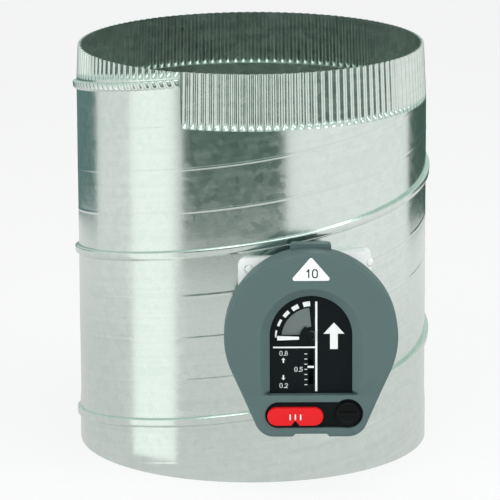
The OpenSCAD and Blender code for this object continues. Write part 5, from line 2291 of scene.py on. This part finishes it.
class Studio:
    """White surroundings, floor, lights, reflected strips and camera."""

    def __init__(
        self,
        camera: CameraSize = CameraSize(),
        floor: FloorLook = FloorLook(),
        room: RoomLook = RoomLook(),
    ) -> None:
        """Keeps the sizes and tones.

        Args:
            camera: Place and lens of the camera.
            floor: Size and tones of the floor.
            room: Tones of the surroundings.
        """
        self.camera = camera
        self.floor = floor
        self.room = room

    def build(self) -> None:
        """Builds the studio."""
        scene = bpy.context.scene
        scene.view_settings.view_transform = "Standard"
        self._world(scene)
        self._floor()
        for lamp in LAMPS:
            self._lamp(lamp)
        for card in CARDS:
            self._card(card)
        self._camera(scene)
        LOG.info("%d lamps, %d cards, lens %.1f mm", len(LAMPS), len(CARDS), self.camera.lens)

    def _world(self, scene: bpy.types.Scene) -> None:
        """Sets an even white surrounding.

        Args:
            scene: Scene that gets it.
        """
        room = self.room
        world = bpy.data.worlds.new("white room")
        scene.world = world
        graph = Graph(world)
        light, mirrored, seen = (
            graph.node("ShaderNodeBackground", None, {"Color": (*tone, 1.0), "Strength": strength})
            for tone, strength in (
                (room.light, room.light_strength),
                (room.mirrored, room.mirrored_strength),
                (room.seen, room.seen_strength),
            )
        )
        by_camera = graph.node("ShaderNodeLightPath", output="Is Camera Ray")
        by_metal = graph.node("ShaderNodeLightPath", output="Is Glossy Ray")
        unseen = graph.node("ShaderNodeMixShader", None, {0: by_metal, 1: light, 2: mirrored})
        both = graph.node("ShaderNodeMixShader", None, {0: by_camera, 1: unseen, 2: seen})
        graph.node("ShaderNodeOutputWorld", None, {"Surface": both})

    def _floor(self) -> None:
        """Lays a pale floor that keeps the shadow and is white to the camera far from it."""
        half = self.floor.half
        shape = Shape()
        corners = ((-half, -half, 0.0), (half, -half, 0.0), (half, half, 0.0), (-half, half, 0.0))
        shape.mesh.faces.new([shape.mesh.verts.new(corner) for corner in corners])
        put_in_scene("floor", shape, self._floor_material())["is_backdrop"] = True

    def _floor_material(self) -> bpy.types.Material:
        """Builds the material of the floor, with painted light and a painted shadow in the tone that
        metal mirrors.

        Returns:
            The material.
        """
        look = self.floor
        made = bpy.data.materials.new("pale floor")
        graph = Graph(made)
        matt = graph.node("ShaderNodeBsdfDiffuse", None, {"Color": (*look.tone, 1.0)})
        white = {"Color": (1.0, 1.0, 1.0, 1.0), "Strength": 1.0}
        glow = graph.node("ShaderNodeEmission", None, white)
        by_camera = graph.node("ShaderNodeLightPath", output="Is Camera Ray")
        by_metal = graph.node("ShaderNodeLightPath", output="Is Glossy Ray")
        place, length = graph.place(), {"operation": "LENGTH"}
        across = graph.node("ShaderNodeSeparateXYZ", None, {"Vector": place}, "X")
        reach = graph.node("ShaderNodeVectorMath", length, {0: place}, "Value")
        # Painted light and shade in the floor that metal mirrors: brighter towards the right, and a
        # painted shadow near the object
        painted_side_light = look.left + look.painted_light_right_gain * across.step(*look.painted_light_right_range)
        outward = look.near + look.painted_shadow_depth * reach.step(*look.painted_shadow_fade)
        tone = graph.mix(painted_side_light * outward, (0.0, 0.0, 0.0), look.mirrored)
        # Glow of the floor as metal sees it, carrying the painted light and the painted shadow
        mirrored_floor_painted_light = graph.node("ShaderNodeEmission", None, {"Color": tone, "Strength": 1.0})
        share = look.white_share * by_camera
        shown = graph.node("ShaderNodeMixShader", None, {0: share, 1: matt, 2: glow})
        both = graph.node("ShaderNodeMixShader", None, {0: by_metal, 1: shown, 2: mirrored_floor_painted_light})
        graph.node("ShaderNodeOutputMaterial", None, {"Surface": both})
        return made

    @staticmethod
    def _lamp(lamp: Lamp) -> None:
        """Adds a soft light.

        Args:
            lamp: Its place and size.
        """
        data = bpy.data.lights.new(lamp.name, "AREA")
        data.shape = "RECTANGLE"
        data.size, data.size_y, data.energy = lamp.width, lamp.height, lamp.power
        made = bpy.data.objects.new(lamp.name, data)
        made.location = lamp.place
        made.visible_glossy = lamp.mirrored
        aim = Vector(lamp.aim) - Vector(lamp.place)
        made.rotation_euler = aim.to_track_quat("-Z", "Y").to_euler()
        bpy.context.scene.collection.objects.link(made)

    @staticmethod
    def _card(card: Card) -> None:
        """Lays a strip on the floor that only reflections show.

        Args:
            card: Its angles, lengths and tone.
        """

        def point(i: int, j: int) -> Vector:
            """Place of a point of the strip.

            Args:
                i: Its column, across the strip.
                j: 0 at the near end, 1 at the far end.

            Returns:
                The place, in metres.
            """
            a = math.radians(card.first + (card.last - card.first) * i / card.steps)
            wall = (a - math.pi / 2) / 2
            run = card.far if j else card.near
            foot = Vector((math.cos(wall), math.sin(wall), 0.0)) * WALL_RADIUS
            return foot + Vector((run * math.cos(a), run * math.sin(a), card.rise))

        tone = bpy.data.materials.new(card.name)
        graph = Graph(tone)
        glow = graph.node("ShaderNodeEmission", None, {"Color": (*card.tone, 1.0), "Strength": 1.0})
        graph.node("ShaderNodeOutputMaterial", None, {"Surface": glow})
        made = put_in_scene(card.name, Shape().grid(card.steps + 1, 2, point), tone)
        made.visible_camera = False
        made.visible_diffuse = False
        made.visible_shadow = False
        made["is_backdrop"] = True

    def _camera(self, scene: bpy.types.Scene) -> None:
        """Sets the camera.

        Args:
            scene: Scene that gets it.
        """
        size = self.camera
        data = bpy.data.cameras.new("photo camera")
        data.lens, data.sensor_width = size.lens, size.sensor
        data.sensor_fit = "HORIZONTAL"
        data.clip_end = size.clip_end
        data.dof.use_dof = False
        made = bpy.data.objects.new("photo camera", data)
        made.location = size.place
        turns = ((size.yaw, "Z"), (size.pitch, "X"), (size.roll, "Z"))
        yaw, pitch, roll = (Matrix.Rotation(math.radians(angle), 4, axis) for angle, axis in turns)
        made.rotation_euler = (yaw @ pitch @ roll).to_euler()
        bpy.context.scene.collection.objects.link(made)
        scene.camera = made


def write_size(stage: str, sizes: dict[str, object]) -> None:
    """Args:
        stage: Moment at which they are taken.
        sizes: Bounds found so far, which are extended.
    """
    low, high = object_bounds()
    sizes[stage] = {"low": [float(v) for v in low], "high": [float(v) for v in high]}


def main() -> None:
    """Builds the object in order and finishes the scene."""
    logging.basicConfig(level=logging.INFO, format="%(name)s: %(message)s")
    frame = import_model()
    sizes: dict[str, object] = {}
    write_size("frame", sizes)
    shop = Workshop(frame)
    shop.dress()
    DuctSleeve().build(shop)
    ControlHousing().build(shop)
    SaddleCaps().build(shop)
    Dial().build(shop)
    LockGroup().build(shop)
    Studio().build()
    write_size("object", sizes)


if __name__ == "__main__":
    main()
